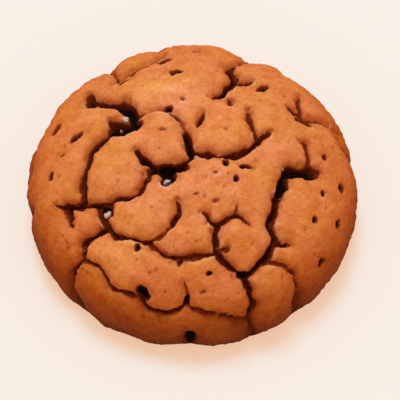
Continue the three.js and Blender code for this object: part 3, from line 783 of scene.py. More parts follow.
@dataclass
class Crust:
    """The whole outer surface of the cookie, with its cracks, hollows, specks and grain."""

    mound: Mound = field(default_factory=Mound)
    underside_rings: int = 4
    seed: int = 11
    lip_roll: float = 1.2 * MM
    lip_roll_reach: float = 4.5 * MM
    lip_edge: float = 0.4 * MM
    lip_edge_reach: float = 1 * MM
    high_side: tuple[float, float, float] = (-0.25, 0.8, 0.55)
    front_roll: float = 0.15
    # The next five set the painted highlight and painted shade on the rims beside cracks, bowls and specks:
    # highlight where a rim faces the high side, shade reaching farthest where it faces the front.
    highlight_rim_reach: float = 0.9 * MM
    shaded_rim_reach: tuple[float, float] = (0.9 * MM, 1.9 * MM)
    facing_fade: tuple[float, float] = (-0.5, 0.9)
    high_rim_shading: float = 0.7
    speck_rim: float = 0.4
    # The next two: painted shade darker in hollows than in cracks of the same depth, and specks darkened
    # with depth.
    hollow_shading: float = 2.0
    speck_darkening: float = 3.0
    reference_crack_width: float = 1 * MM
    toe_fade: float = 4 * MM
    ragged: tuple[tuple[float, float], ...] = ((3.2 * MM, 0.14 * MM), (1.2 * MM, 0.07 * MM))
    width_wander: float = 0.28
    width_wander_length: float = 4.5 * MM
    widest_wander: float = 1.5
    groove_roundness: float = 0.7
    closed_lip: float = 1 * MM
    undulation_height: float = 0.22 * MM
    undulation_lengths: tuple[float, float, float] = (11 * MM, 7.3 * MM, 8.9 * MM)
    grain: tuple[tuple[float, float], ...] = (
        (3.4 * MM, 0.05 * MM), (1.8 * MM, 0.05 * MM), (1 * MM, 0.04 * MM))
    rubble_length: float = 0.9 * MM
    rubble_height: float = 0.14 * MM
    rubble_depths: tuple[float, float] = (0.3 * MM, 1.2 * MM)
    pore_count: int = 420
    pore_radius: tuple[float, float] = (0.3 * MM, 0.6 * MM)
    pore_depth_share: float = 0.5
    pore_spread: float = 0.9
    full_pore: float = 0.25 * MM
    chip_count: int = 150
    chip_radius: tuple[float, float] = (0.4 * MM, 0.85 * MM)
    chip_depth_share: float = 0.6
    chip_sideways: float = 1.1
    chip_crack_width: float = 1 * MM
    full_chip: float = 0.4 * MM

    def __post_init__(self) -> None:
        """Lays the cracks and the grid, which the rest is worked out from."""
        front = SightLine(self.mound).aligned(FRONT_CRACKS)
        self.cracks = CrackLayer(self.mound).lay(front + BACK_CRACKS)
        self.grid = MapGrid(self.mound.reach())
        routes = np.vstack([crack.places for crack in self.cracks])
        middles = np.array([oval.place for oval in SPECKS + FAINT_SPECKS]) * MM
        self.places = self.grid.drawn_together(np.vstack([routes, middles]))
        self.rng = np.random.default_rng(self.seed)

    def crack_relief(self, points: np.ndarray, wander: np.ndarray) -> dict[str, np.ndarray]:
        """Depth of the cracks and sinking of their lips at points of the mound.

        At distance d from a crack, inside its half width h, the groove is
        depth * (1 - (d / h)^2)^groove_roundness. Outside, its lip is rolled down by
        lip_roll * (1 - (d - h) / reach)^2, and once more by lip_edge over lip_edge_reach.
        A lip that faces the front is rolled down more. The half width wanders along the
        crack. Where cracks meet, the deeper one counts.

        Args:
            points: Points of the mound, in metres.
            wander: Share by which a crack is wider or narrower at each point.

        Returns:
            "groove", "roll" and "edge", in metres, where edge is the distance beyond the
            closest lip, and negative inside a crack, and "facing", which goes from -1 on
            lips that face the front to 1 on those that face the high side.
        """
        groove, roll, facing = (np.zeros(len(points)) for _ in range(3))
        edge = np.full(len(points), self.lip_roll_reach)
        for crack in self.cracks:
            middle = crack.chain.mean(axis=0)
            span = np.linalg.norm(crack.chain - middle, axis=1).max() + self.lip_roll_reach * 1.5
            near = np.flatnonzero(np.linalg.norm(points - middle, axis=1) < span)
            distance, toward, wide = crack.measure(points[near])
            side = toward @ np.array(self.high_side)
            half = np.maximum(crack.width / 2 * wide * (1.0 + wander[near]), 1e-6)
            inside = np.clip(1.0 - (distance / half) ** 2, 0.0, 1.0) ** self.groove_roundness
            beyond = np.maximum(distance - half, 0.0)
            share = np.minimum(1.0, crack.width / self.reference_crack_width) * wide
            share *= 1.0 - self.front_roll * side
            rolled = (self.lip_roll * np.clip(1.0 - beyond / self.lip_roll_reach, 0.0, 1.0) ** 2
                      + self.lip_edge * np.clip(1.0 - beyond / self.lip_edge_reach, 0.0, 1.0) ** 2)
            groove[near] = np.maximum(groove[near], crack.depth * wide * inside)
            roll[near] = np.maximum(roll[near], rolled * share)
            closed = self.closed_lip * (1.0 - np.minimum(1.0, 2.0 * wide))
            gap = distance - half + closed
            facing[near] = np.where(gap < edge[near], side, facing[near])
            edge[near] = np.minimum(edge[near], gap)
        return {"groove": groove, "roll": roll, "edge": edge, "facing": facing}

    def oval_relief(self, places: np.ndarray, ovals: tuple[Oval, ...]) -> dict[str, np.ndarray]:
        """Depth of oval bowls: depth * (1 - s^2), where s is 1 on the oval's edge.

        Args:
            places: Rows of (east, north), in metres.
            ovals: The bowls.

        Returns:
            "groove" and "edge", in metres, where edge is the distance beyond the closest
            bowl's edge, and negative inside a bowl, and "facing" as crack_relief gives it.
        """
        groove, facing = np.zeros(len(places)), np.zeros(len(places))
        high_course = unit_rows(np.array(self.high_side[:2]))
        edge = np.full(len(places), self.lip_roll_reach)
        for oval in ovals:
            offset = places / MM - np.array(oval.place)
            turn = math.radians(oval.turn)
            along = offset[:, 0] * math.cos(turn) + offset[:, 1] * math.sin(turn)
            across = offset[:, 1] * math.cos(turn) - offset[:, 0] * math.sin(turn)
            out = np.hypot(along / (oval.length / 2), across / (oval.width / 2))
            groove = np.maximum(groove, oval.depth * MM * np.clip(1.0 - out ** 2, 0.0, 1.0))
            gap = (out - 1.0) * oval.width * MM / 2
            side = -offset @ high_course / np.maximum(np.hypot(*offset.T), 1e-9)
            facing = np.where(gap < edge, side, facing)
            edge = np.minimum(edge, gap)
        return {"groove": groove, "edge": edge, "facing": facing}

    def rim_shares(self, relief: dict[str, np.ndarray]) -> tuple[np.ndarray, np.ndarray]:
        """How far the rims beside cracks or bowls get a painted highlight and painted shade.

        A rim gets a painted highlight where it faces the high side, and its painted shade reaches
        far over the plate where it faces the front. Both fade smoothly with distance from the edge.

        Args:
            relief: What crack_relief or oval_relief gives.

        Returns:
            The painted highlight share and the painted shade share of each point.
        """
        high = smoothstep(*self.facing_fade, relief["facing"])
        pale = high * (1.0 - smoothstep(0.0, 1.0, relief["edge"] / self.highlight_rim_reach))
        short, long = self.shaded_rim_reach
        reach = long + (short - long) * high
        darkened = 1.0 - smoothstep(0.0, 1.0, relief["edge"] / reach)
        return pale, darkened * (1.0 - (1.0 - self.high_rim_shading) * high)

    def swell_relief(self, points: np.ndarray) -> np.ndarray:
        """Broad swellings, each a bell height * exp(-(d / reach)^2), plus a low undulation.

        Args:
            points: Points of the mound at the crust's own places.

        Returns:
            Height of each point above the mound, in metres.
        """
        total = np.zeros(len(points))
        for swell in SWELLS:
            distance = np.linalg.norm(self.places / MM - np.array(swell.place), axis=1)
            total += swell.height * MM * np.exp(-((distance / swell.reach) ** 2))
        long, short, up = self.undulation_lengths
        x, y, z = points.T
        waves = (np.sin(2 * math.pi * x / long + y / short) + np.sin(2 * math.pi * y / short - x / up)
                 + np.cos(2 * math.pi * (z - x + y) / (up + long)))
        return total + self.undulation_height * waves / 3

    def patch_tone(self) -> np.ndarray:
        """Adds up the patches, each a bell tone * exp(-(d / reach)^2).

        Returns:
            How much paler each point is coloured, or browner where negative: partly uneven baking, partly
            painted light and shade.
        """
        total = np.zeros(len(self.places))
        for patch in PATCHES:
            distance = np.linalg.norm(self.places / MM - np.array(patch.place), axis=1)
            total += patch.tone * np.exp(-((distance / patch.reach) ** 2))
        return total

    def bowls(self, points: np.ndarray, centres: np.ndarray, radii: np.ndarray) -> np.ndarray:
        """How far each point is inside small round bowls: r * (1 - (d / r)^2).

        Args:
            points: Points of the mound.
            centres: Middles of the bowls.
            radii: Their radii.

        Returns:
            The largest value at each point, in metres.
        """
        inside = np.zeros(len(points))
        for centre, radius in zip(centres, radii):
            offset = np.linalg.norm(points - centre, axis=1) / radius
            inside = np.maximum(inside, radius * np.clip(1.0 - offset ** 2, 0.0, 1.0))
        return inside

    def pores(self, points: np.ndarray) -> np.ndarray:
        """Small round pores scattered evenly over the crust.

        Args:
            points: Points of the mound.

        Returns:
            Depth of the pores at each point, as a share of what bowls gives.
        """
        distance = self.mound.reach() * np.sqrt(self.rng.uniform(0.0, self.pore_spread, self.pore_count))
        bearing = self.rng.uniform(0.0, 2 * math.pi, self.pore_count)
        places = np.column_stack([np.cos(bearing), np.sin(bearing)]) * distance[:, None]
        radii = self.rng.uniform(*self.pore_radius, self.pore_count)
        return self.pore_depth_share * self.bowls(points, self.mound.lift(places)[0], radii)

    def crack_places(self, count: int, sideways: float, narrowest: float) -> np.ndarray:
        """Draws random places beside the middle lines of the cracks.

        Args:
            count: Number of places.
            sideways: Distance from the middle line, as a share of the half width.
            narrowest: Least width of the cracks that count, in metres.

        Returns:
            Rows of (east, north), in metres.
        """
        cracks = [crack for crack in self.cracks if crack.width >= narrowest]
        stations = np.vstack([crack.places[1:-1] for crack in cracks])
        courses = np.vstack([unit_rows(crack.places[2:] - crack.places[:-2]) for crack in cracks])
        halves = np.concatenate([crack.width / 2 * crack.opening[1:-1] for crack in cracks])
        chosen = self.rng.integers(0, len(stations), count)
        side = self.rng.choice([-1.0, 1.0], count) * halves[chosen] * sideways
        across = np.column_stack([-courses[chosen, 1], courses[chosen, 0]])
        return stations[chosen] + across * side[:, None]

    def chips(self, points: np.ndarray) -> np.ndarray:
        """Small scoops where bits of the lips broke away.

        Args:
            points: Points of the mound.

        Returns:
            Depth of the scoops at each point, in metres.
        """
        places = self.crack_places(self.chip_count, self.chip_sideways, self.chip_crack_width)
        centres = self.mound.lift(places)[0]
        radii = self.rng.uniform(*self.chip_radius, self.chip_count)
        return self.chip_depth_share * self.bowls(points, centres, radii)

    def surface(self) -> tuple[np.ndarray, dict[str, np.ndarray]]:
        """The finished crust: the mound pushed out or in along its normals.

        Where the cracks are read, each point is first moved a little by smooth random
        fields, which makes the lips ragged.

        Returns:
            The points, and one array for each of the mesh's attributes.
        """
        points, normals = self.mound.lift(self.places)
        drift = sum(
            height * np.column_stack([Ripple(self.rng, length).at(points) for _ in range(3)])
            for length, height in self.ragged
        )
        wander = self.width_wander * np.clip(
            Ripple(self.rng, self.width_wander_length).at(points), -self.widest_wander, self.widest_wander)
        cracks = self.crack_relief(points + drift, wander)
        hollows = self.oval_relief(self.places + drift[:, :2], HOLLOWS)
        specks = self.oval_relief(self.places + drift[:, :2], SPECKS + FAINT_SPECKS)
        chips = self.chips(points + drift)
        groove = np.maximum.reduce([form["groove"] for form in (cracks, hollows, specks)])
        # How dark the inside is coloured: painted shade in cracks and hollows by depth, and specks darkened
        # with depth.
        dark = np.maximum.reduce([
            groove / MM, self.hollow_shading * hollows["groove"] / MM,
            self.speck_darkening * (specks["groove"] / MM) ** 2])
        # Shares of painted highlight and painted shade on the rims beside cracks, hollows and specks.
        rims = [self.rim_shares(form) for form in (cracks, hollows, specks)]
        rims[-1] = tuple(self.speck_rim * share for share in rims[-1])
        rubble = self.rubble_height * Ripple(self.rng, self.rubble_length).at(points)
        rubble *= smoothstep(*self.rubble_depths, groove)
        grain = sum(height * Ripple(self.rng, length).at(points) for length, height in self.grain)
        pores = self.pores(points)
        sunk = cracks["roll"] + np.maximum(groove, chips) + pores
        relief = self.swell_relief(points) + grain + rubble - sunk
        distance = np.hypot(self.places[:, 0], self.places[:, 1])
        fade = smoothstep(0.0, 1.0, (self.mound.reach() - distance) / self.toe_fade)
        attributes = {
            "edge": np.minimum.reduce([form["edge"] for form in (cracks, hollows, specks)]) / MM,
            "highlight_rim": np.maximum.reduce([pale for pale, _ in rims]),
            "shaded_rim": np.maximum.reduce([darkened for _, darkened in rims]),
            "deep": dark,
            "pore": np.clip(pores / self.full_pore, 0.0, 1.0),
            "chip": np.clip(chips / self.full_chip, 0.0, 1.0),
            "out": distance / self.mound.reach(),
            "tone": self.patch_tone(),
        }
        return points + normals * (fade * relief)[:, None], attributes

    def build(self) -> bpy.types.Object:
        """Makes the crust's mesh, closed by the flat underside.

        The underside is rings of the rim, each shrunk towards the middle, round one point.

        Returns:
            The crust's object.
        """
        top, attributes = self.surface()
        self.top = top
        rim = self.grid.rim_loop()
        shares = np.linspace(1.0, 0.0, self.underside_rings + 1)
        rings = [top[rim] * np.array([share, share, 0.0]) for share in shares[1:-1]]
        points = np.vstack([top, *rings, np.zeros((1, 3))])
        loops = [rim] + [len(top) + index * len(rim) + np.arange(len(rim)) for index in range(len(rings))]
        ring_quads = [
            np.column_stack([np.roll(outer, -1), outer, inner, np.roll(inner, -1)])
            for outer, inner in zip(loops, loops[1:])
        ]
        fan = np.column_stack([np.roll(loops[-1], -1), loops[-1], np.full(len(rim), len(points) - 1)])
        row = self.grid.cells + 1
        faces = np.vstack([grid_quads(row, row), *ring_quads]).tolist() + fan.tolist()
        crust = add_mesh("crust", points, faces)
        crust.data.shade_smooth()
        below = np.concatenate([np.repeat(2.0 - shares[1:-1], len(rim)), [2.0]])
        on_underside = {"out": below, "edge": np.full(len(below), self.lip_roll_reach / MM)}
        for name, values in attributes.items():
            rest = on_underside.get(name, np.zeros(len(below)))
            set_attribute(crust, name, np.concatenate([values, rest]))
        return crust


# ---- Crumbs ----


@dataclass
class Crumbs:
    """Loose crumbs of dough, lodged in the cracks and lying on the lips, as one mesh."""

    crust: Crust
    scattered: int = 24
    radius: tuple[float, float] = (0.14 * MM, 0.3 * MM)
    sunk_share: float = 0.35
    sideways: float = 0.75
    narrowest_crack: float = 1.3 * MM
    rings: int = 6
    sides: int = 9
    roughness: float = 0.32
    lump_length: float = 1.1
    lump_waves: int = 10
    stretch: tuple[float, float] = (0.7, 1.1)
    tone_shares: tuple[float, float] = (0.85, 0.15)
    seed: int = 23

    def lump(self) -> tuple[np.ndarray, np.ndarray]:
        """A unit ball: rings of points between two poles.

        Returns:
            The points, and the faces as triangles that look outwards.
        """
        polar = np.linspace(0.0, math.pi, self.rings + 2)[1:-1, None]
        turn = np.linspace(0.0, 2 * math.pi, self.sides, endpoint=False)[None, :]
        rings = np.stack([np.sin(polar) * np.cos(turn), np.sin(polar) * np.sin(turn),
                          np.broadcast_to(np.cos(polar), (self.rings, self.sides))], axis=-1)
        points = np.vstack([rings.reshape(-1, 3), [[0.0, 0.0, 1.0], [0.0, 0.0, -1.0]]])
        index = np.arange(self.rings * self.sides).reshape(self.rings, self.sides)
        following = np.roll(index, -1, axis=1)
        above, below = index[:-1].ravel(), index[1:].ravel()
        above_next, below_next = following[:-1].ravel(), following[1:].ravel()
        top = np.full(self.sides, len(points) - 2)
        bottom = top + 1
        faces = np.vstack([
            np.column_stack([above, below, below_next]),
            np.column_stack([above, below_next, above_next]),
            np.column_stack([top, index[0], following[0]]),
            np.column_stack([bottom, following[-1], index[-1]]),
        ])
        return points, faces

    def build(self) -> bpy.types.Object:
        """Makes the crumbs: unit balls, pushed in and out, stretched, turned and set down.

        Returns:
            The crumbs' object, with their tone as an attribute.
        """
        rng = np.random.default_rng(self.seed)
        ball, faces = self.lump()
        count = self.scattered
        places = np.vstack([
            self.crust.crack_places(count, self.sideways, self.narrowest_crack),
            [np.array(crumb.place) * MM for crumb in LODGED_CRUMBS]])
        radii = np.concatenate([
            rng.uniform(*self.radius, count), [crumb.radius * MM for crumb in LODGED_CRUMBS]])
        tones = np.concatenate([
            rng.choice([CrumbTone.BROWN.value, CrumbTone.GOLDEN.value], count, p=self.tone_shares),
            [crumb.tone.value for crumb in LODGED_CRUMBS]])
        normals = self.crust.mound.lift(places)[1]
        all_points, all_faces = [], []
        for number, (place, radius, normal) in enumerate(zip(places, radii, normals)):
            closest = np.argmin(np.linalg.norm(self.crust.places - place, axis=1))
            uneven = 1.0 + self.roughness * Ripple(rng, self.lump_length, self.lump_waves).at(ball)
            turned, _ = np.linalg.qr(rng.normal(size=(3, 3)))
            turned *= np.sign(np.linalg.det(turned))
            shape = (ball * uneven[:, None] * rng.uniform(*self.stretch, 3)) @ turned.T
            centre = self.crust.top[closest] + normal * radius * (1.0 - self.sunk_share)
            all_points.append(centre + shape * radius)
            all_faces.append(faces + number * len(ball))
        crumbs = add_mesh("crumbs", np.vstack(all_points), np.vstack(all_faces).tolist())
        crumbs.data.shade_smooth()
        set_attribute(crumbs, "tone", np.repeat(tones, len(ball)))
        return crumbs


# ---- Finishes ----


def srgb(colour: Rgb) -> tuple[float, float, float, float]:
    """Turns a screen colour into the linear colour that a shader takes.

    Args:
        colour: Red, green and blue, from 0 to 255.

    Returns:
        Red, green and blue from 0 to 1, and 1 for opaque.
    """
    shares = np.array(colour) / 255
    linear = np.where(shares > 0.04045, ((shares + 0.055) / 1.055) ** 2.4, shares / 12.92)
    return (*map(float, linear), 1.0)


class NodeSheet:
    """A material's node tree, with short calls to add and join its nodes."""

    def __init__(self, name: str) -> None:
        """Makes an empty material.

        Args:
            name: The material's name.
        """
        self.material = bpy.data.materials.new(name)
        self.material.use_nodes = True
        self.tree = self.material.node_tree
        self.tree.nodes.clear()

    def add(self, kind: str, inputs: dict | None = None, **settings: object) -> bpy.types.Node:
        """Adds a node and sets or links its inputs.

        Args:
            kind: Blender's name for the kind of node.
            inputs: Input name or number, and either a value or the socket to link.
            **settings: Properties of the node itself.

        Returns:
            The new node.
        """
        node = self.tree.nodes.new(kind)
        for key, value in settings.items():
            setattr(node, key, value)
        for key, value in (inputs or {}).items():
            if isinstance(value, bpy.types.NodeSocket):
                self.tree.links.new(value, node.inputs[key])
            else:
                node.inputs[key].default_value = value
        return node

    def attribute(self, name: str) -> bpy.types.NodeSocket:
        """Reads one of the piece's own attributes."""
        return self.add("ShaderNodeAttribute", attribute_name=name).outputs["Fac"]

    def spot(self) -> bpy.types.NodeSocket:
        """Reads the place on the piece, in metres."""
        return self.add("ShaderNodeTexCoord").outputs["Object"]

    def grade(self, value: bpy.types.NodeSocket, low: float, high: float,
              to_low: float = 0.0, to_high: float = 1.0) -> bpy.types.NodeSocket:
        """Grades a value smoothly from one range to another."""
        return self.add("ShaderNodeMapRange", {
            "Value": value, "From Min": low, "From Max": high, "To Min": to_low, "To Max": to_high,
        }, interpolation_type="SMOOTHSTEP").outputs["Result"]

    def maths(self, operation: str, first: object, second: object) -> bpy.types.NodeSocket:
        """Joins two numbers by an operation such as ADD or MULTIPLY."""
        return self.add("ShaderNodeMath", {0: first, 1: second}, operation=operation).outputs[0]

    def mix(self, share: object, first: object, second: object) -> bpy.types.NodeSocket:
        """Mixes two colours by a share, where 0 gives the first."""
        return self.add("ShaderNodeMix", {0: share, 6: first, 7: second}, data_type="RGBA").outputs[2]

    def tint(self, share: object, colour: object, tint: Tint) -> bpy.types.NodeSocket:
        """Multiplies a colour by a tint, by a share."""
        return self.add("ShaderNodeMix", {0: share, 6: colour, 7: (*tint, 1.0)},
                        data_type="RGBA", blend_type="MULTIPLY").outputs[2]

    def ramp(self, value: bpy.types.NodeSocket,
             stops: tuple[tuple[float, Rgb], ...]) -> bpy.types.NodeSocket:
        """Turns a value into a colour, which goes smoothly from stop to stop.

        Args:
            value: The value, from 0 to 1.
            stops: Values, and the screen colour at each.

        Returns:
            The colour.
        """
        node = self.add("ShaderNodeValToRGB", {"Fac": value})
        elements = node.color_ramp.elements
        while len(elements) < len(stops):
            elements.new(0.5)
        for element, (position, colour) in zip(elements, stops):
            element.position = position
            element.color = srgb(colour)
        return node.outputs["Color"]

    def noise(self, spot: bpy.types.NodeSocket, patch: float,
              detail: float = 3.0) -> bpy.types.NodeSocket:
        """Adds a noise pattern whose patches are about patch metres across."""
        return self.add("ShaderNodeTexNoise", {
            "Vector": spot, "Scale": 1 / patch, "Detail": detail, "Roughness": 0.55,
        }).outputs["Fac"]

    def bump(self, height: bpy.types.NodeSocket, distance: float,
             under: bpy.types.NodeSocket | None = None) -> bpy.types.NodeSocket:
        """Adds shaded relief.

        Args:
            height: Pattern of the relief, from 0 to 1.
            distance: Height of the relief, in metres.
            under: Relief that it lies on, if any.

        Returns:
            The normal with the relief.
        """
        inputs = {"Height": height, "Strength": 1.0, "Distance": distance}
        if under is not None:
            inputs["Normal"] = under
        return self.add("ShaderNodeBump", inputs).outputs["Normal"]

    def finish(self, colour: object, roughness: float, specular: float,
               normal: bpy.types.NodeSocket | None = None) -> bpy.types.Material:
        """Adds the shader and the output.

        Args:
            colour: Base colour, as a value or a socket.
            roughness: Roughness of the surface, from 0 to 1.
            specular: Strength of the shine.
            normal: Relief, if any.

        Returns:
            The finished material.
        """
        inputs = {"Base Color": colour, "Roughness": roughness, "Specular IOR Level": specular}
        if normal is not None:
            inputs["Normal"] = normal
        shader = self.add("ShaderNodeBsdfPrincipled", inputs)
        self.add("ShaderNodeOutputMaterial", {"Surface": shader.outputs["BSDF"]})
        return self.material


@dataclass(frozen=True)
class Fleck:
    """A noise pattern that tints the crust where it is between low and high."""

    patch: float
    detail: float
    low: float
    high: float
    strength: float
    tint: Tint


@dataclass(frozen=True)
class CrustFinish:
    """Baked ginger dough: orange-brown plates, browner towards the foot as partly real browning and partly
    painted shade, painted shade in the cracks and painted highlights and shade on the rims.
    """

    # Paler at the summit and browner and darker towards the foot: partly real browning, partly painted
    # light and shade.
    bake_and_shade: tuple[tuple[float, Rgb], ...] = (
        (0.20, (238, 146, 84)), (0.50, (229, 134, 71)), (0.61, (226, 127, 62)),
        (0.68, (208, 107, 43)), (0.74, (187, 88, 26)), (0.80, (160, 69, 17)),
        (0.88, (131, 56, 14)), (0.96, (84, 32, 10)),
    )
    underside: Rgb = (158, 86, 40)
    underside_deep: Rgb = (118, 56, 24)
    # Inside cracks, hollows and specks: painted shade, from brown walls to nearly black hollow floors.
    crack_wall: Rgb = (142, 52, 12)
    crack_floor_shade: Rgb = (102, 32, 9)
    hollow_shade: Rgb = (28, 9, 6)
    darkened: Tint = (0.88, 0.74, 0.58)
    golden: Tint = (1.0, 1.05, 0.78)
    rosy: Tint = (1.01, 0.98, 1.14)
    paled: Tint = (1.14, 1.38, 1.8)
    # Painted highlight tint for rims that face the high side, then painted shade tint for rims.
    lip: Tint = (1.25, 2.1, 3.8)
    rim_shade: Tint = (0.8, 0.66, 0.56)
    bake_patch: float = 6 * MM
    bake_drift: float = 0.08
    underside_patch: float = 1.6 * MM
    broad_patch: float = 7 * MM
    rim_patch: float = 5 * MM
    chip_darkening: float = 0.4
    pore_darkening: float = 0.5
    flecks: tuple[Fleck, ...] = (
        Fleck(2.6 * MM, 4, 0.36, 0.68, 1.0, darkened), Fleck(0.7 * MM, 2, 0.42, 0.72, 0.6, paled),
        Fleck(0.45 * MM, 2, 0.54, 0.68, 0.7, darkened))
    coarse_grain: tuple[float, float] = (0.9 * MM, 0.22 * MM)
    fine_grain: tuple[float, float] = (0.35 * MM, 0.09 * MM)
    roughness: float = 0.8
    specular: float = 0.06

    def baked(self, sheet: NodeSheet, spot: bpy.types.NodeSocket) -> bpy.types.NodeSocket:
        """Colours the crust by distance from the summit, unevenly, and mottles the underside.

        From the paler summit to the darker foot, the colour is partly real browning and partly painted
        light and shade.

        Args:
            sheet: The material's node tree.
            spot: Place on the piece.

        Returns:
            The colour.
        """
        drift = sheet.maths("MULTIPLY", sheet.noise(spot, self.bake_patch), self.bake_drift)
        level = sheet.maths("SUBTRACT", drift, self.bake_drift / 2)
        out = sheet.maths("ADD", sheet.attribute("out"), level)
        mottle = sheet.grade(sheet.noise(spot, self.underside_patch, 4), 0.35, 0.65)
        below = sheet.mix(mottle, srgb(self.underside), srgb(self.underside_deep))
        return sheet.mix(sheet.grade(out, 1.0, 1.12), sheet.ramp(out, self.bake_and_shade), below)

    def mottled(self, sheet: NodeSheet, spot: bpy.types.NodeSocket,
                colour: bpy.types.NodeSocket) -> bpy.types.NodeSocket:
        """Adds broad golden and rosy patches, the tone patches, which are partly uneven baking and partly
        painted light and shade, and the flecks.

        Args:
            sheet: The material's node tree.
            spot: Place on the piece.
            colour: Colour to add them to.

        Returns:
            The colour with them.
        """
        aside = sheet.add("ShaderNodeMapping", {"Vector": spot, "Location": (0.1, 0.2, 0.3)})
        broad = sheet.noise(aside.outputs["Vector"], self.broad_patch, 2)
        colour = sheet.tint(sheet.grade(broad, 0.5, 0.68), colour, self.golden)
        colour = sheet.tint(sheet.grade(broad, 0.5, 0.34), colour, self.rosy)
        # The tone patches: partly uneven baking, partly painted light and shade.
        tone = sheet.attribute("tone")
        colour = sheet.tint(sheet.grade(tone, 0.0, 1.0), colour, self.paled)
        colour = sheet.tint(sheet.grade(tone, 0.0, -1.0), colour, self.darkened)
        for fleck in self.flecks:
            pattern = sheet.noise(spot, fleck.patch, fleck.detail)
            share = sheet.grade(pattern, fleck.low, fleck.high, 0.0, fleck.strength)
            colour = sheet.tint(share, colour, fleck.tint)
        return colour

    def lips(self, sheet: NodeSheet, spot: bpy.types.NodeSocket,
             colour: bpy.types.NodeSocket) -> bpy.types.NodeSocket:
        """Paints shade on the rounded rims of the plates and, unevenly, a painted highlight on those
        that face the high side, and darkens their chips.

        Args:
            sheet: The material's node tree.
            spot: Place on the piece.
            colour: Colour of the plates.

        Returns:
            The colour with the rims.
        """
        # Painted shade on the rims, then a painted highlight, unevenly, on those that face the high side.
        colour = sheet.tint(sheet.attribute("shaded_rim"), colour, self.rim_shade)
        uneven = sheet.grade(sheet.noise(spot, self.rim_patch), 0.44, 0.6, 0.1, 1.0)
        rim = sheet.maths("MULTIPLY", sheet.attribute("highlight_rim"), uneven)
        colour = sheet.tint(rim, colour, self.lip)
        # Chips are darkened towards the crack wall colour.
        chip = sheet.maths("MULTIPLY", sheet.attribute("chip"), self.chip_darkening)
        return sheet.mix(chip, colour, srgb(self.crack_wall))

    def cracks(self, sheet: NodeSheet, colour: bpy.types.NodeSocket) -> bpy.types.NodeSocket:
        """Colours the inside of cracks and hollows with painted shade, brown on the walls and darker
        on the floors, darkens the specks in the same way, and darkens the pores.

        Args:
            sheet: The material's node tree.
            colour: Colour of the plates and rims.

        Returns:
            The colour with the cracks.
        """
        deep = sheet.attribute("deep")
        inside = sheet.grade(sheet.attribute("edge"), -0.06, 0.1, 1.0, 0.0)
        # Painted shade inside cracks and hollows, darker with depth.
        brown = sheet.mix(sheet.grade(deep, 0.2, 1.2), srgb(self.crack_wall), srgb(self.crack_floor_shade))
        brown = sheet.mix(sheet.grade(deep, 1.2, 2.2), brown, srgb(self.hollow_shade))
        share = sheet.maths("MULTIPLY", inside, sheet.grade(deep, -0.2, 0.5))
        colour = sheet.mix(share, colour, brown)
        # Pores are darkened towards the crack wall colour.
        pore = sheet.grade(sheet.attribute("pore"), 0.1, 1.0, 0.0, self.pore_darkening)
        return sheet.mix(pore, colour, srgb(self.crack_wall))

    def material(self) -> bpy.types.Material:
        """Builds the crust's material.

        Returns:
            A material that reads the crust's own attributes and its Object coordinates.
        """
        sheet = NodeSheet("baked_crust")
        spot = sheet.spot()
        colour = self.mottled(sheet, spot, self.baked(sheet, spot))
        colour = self.cracks(sheet, self.lips(sheet, spot, colour))
        coarse_patch, coarse_height = self.coarse_grain
        fine_patch, fine_height = self.fine_grain
        grains = sheet.bump(sheet.noise(spot, coarse_patch), coarse_height)
        normal = sheet.bump(sheet.noise(spot, fine_patch, 2), fine_height, grains)
        return sheet.finish(colour, self.roughness, self.specular, normal)


@dataclass(frozen=True)
class CrumbFinish:
    """Broken dough: from the brown of the crust to the pale inside."""

    brown: Rgb = (150, 76, 30)
    golden: Rgb = (212, 128, 66)
    pale: Rgb = (232, 202, 178)
    roughness: float = 0.8
    specular: float = 0.15

    def material(self) -> bpy.types.Material:
        """Builds the crumbs' material.

        Returns:
            A material that each crumb's own tone mixes.
        """
        sheet = NodeSheet("broken_dough")
        spot = sheet.spot()
        mottle = sheet.grade(sheet.noise(spot, 0.25 * MM, 2), 0.35, 0.65, -0.12, 0.12)
        tone = sheet.maths("ADD", sheet.attribute("tone"), mottle)
        colour = sheet.ramp(tone, ((0.0, self.brown), (0.5, self.golden), (1.0, self.pale)))
        normal = sheet.bump(sheet.noise(spot, 0.2 * MM, 2), 0.05 * MM)
        return sheet.finish(colour, self.roughness, self.specular, normal)


@dataclass(frozen=True)
class FloorFinish:
    """A matt pale floor that glows a little, so that shadows on it stay pale and warm."""

    paper: Rgb = (110, 175, 192)
    glow: Rgb = (230, 177, 142)

    def material(self) -> bpy.types.Material:
        """Builds the floor's material.

        Returns:
            A material with no shine and an even glow.
        """
        sheet = NodeSheet("pale_floor")
        inputs = {"Base Color": srgb(self.paper), "Roughness": 1.0, "Specular IOR Level": 0.0,
                  "Emission Color": srgb(self.glow), "Emission Strength": 1.0}
        shader = sheet.add("ShaderNodeBsdfPrincipled", inputs)
        sheet.add("ShaderNodeOutputMaterial", {"Surface": shader.outputs["BSDF"]})
        return sheet.material


# ---- The studio ----


def aim_angles(direction: np.ndarray) -> tuple[float, float, float]:
    """Turns that point a light's or camera's -Z along a direction, with no roll.

    Args:
        direction: Where to look, in any length.

    Returns:
        Rotations about X, Y and Z, in radians.
    """
    x, y, z = direction / np.linalg.norm(direction)
    return (math.pi / 2 + math.asin(z), 0.0, math.atan2(y, x) - math.pi / 2)


@dataclass(frozen=True)
class SkyLight:
    """A far, wide light: as large in the sky as its angle, and even over the whole floor."""

    name: str
    azimuth: float
    elevation: float
    angle: float
    floor_share: tuple[float, float, float]

    def build(self) -> None:
        """Adds the light, as strong as lights a white floor to floor_share."""
        rise, turn = math.radians(self.elevation), math.radians(self.azimuth)
        toward = np.array([
            math.sin(turn) * math.cos(rise), math.cos(turn) * math.cos(rise), math.sin(rise)])
        strongest = max(self.floor_share)
        data = bpy.data.lights.new(self.name, "SUN")
        data.angle = math.radians(self.angle)
        data.energy = strongest * math.pi / math.sin(rise)
        data.color = [share / strongest for share in self.floor_share]
        lamp = bpy.data.objects.new(self.name, data)
        bpy.context.scene.collection.objects.link(lamp)
        lamp.rotation_euler = aim_angles(-toward)
        lamp.location = toward


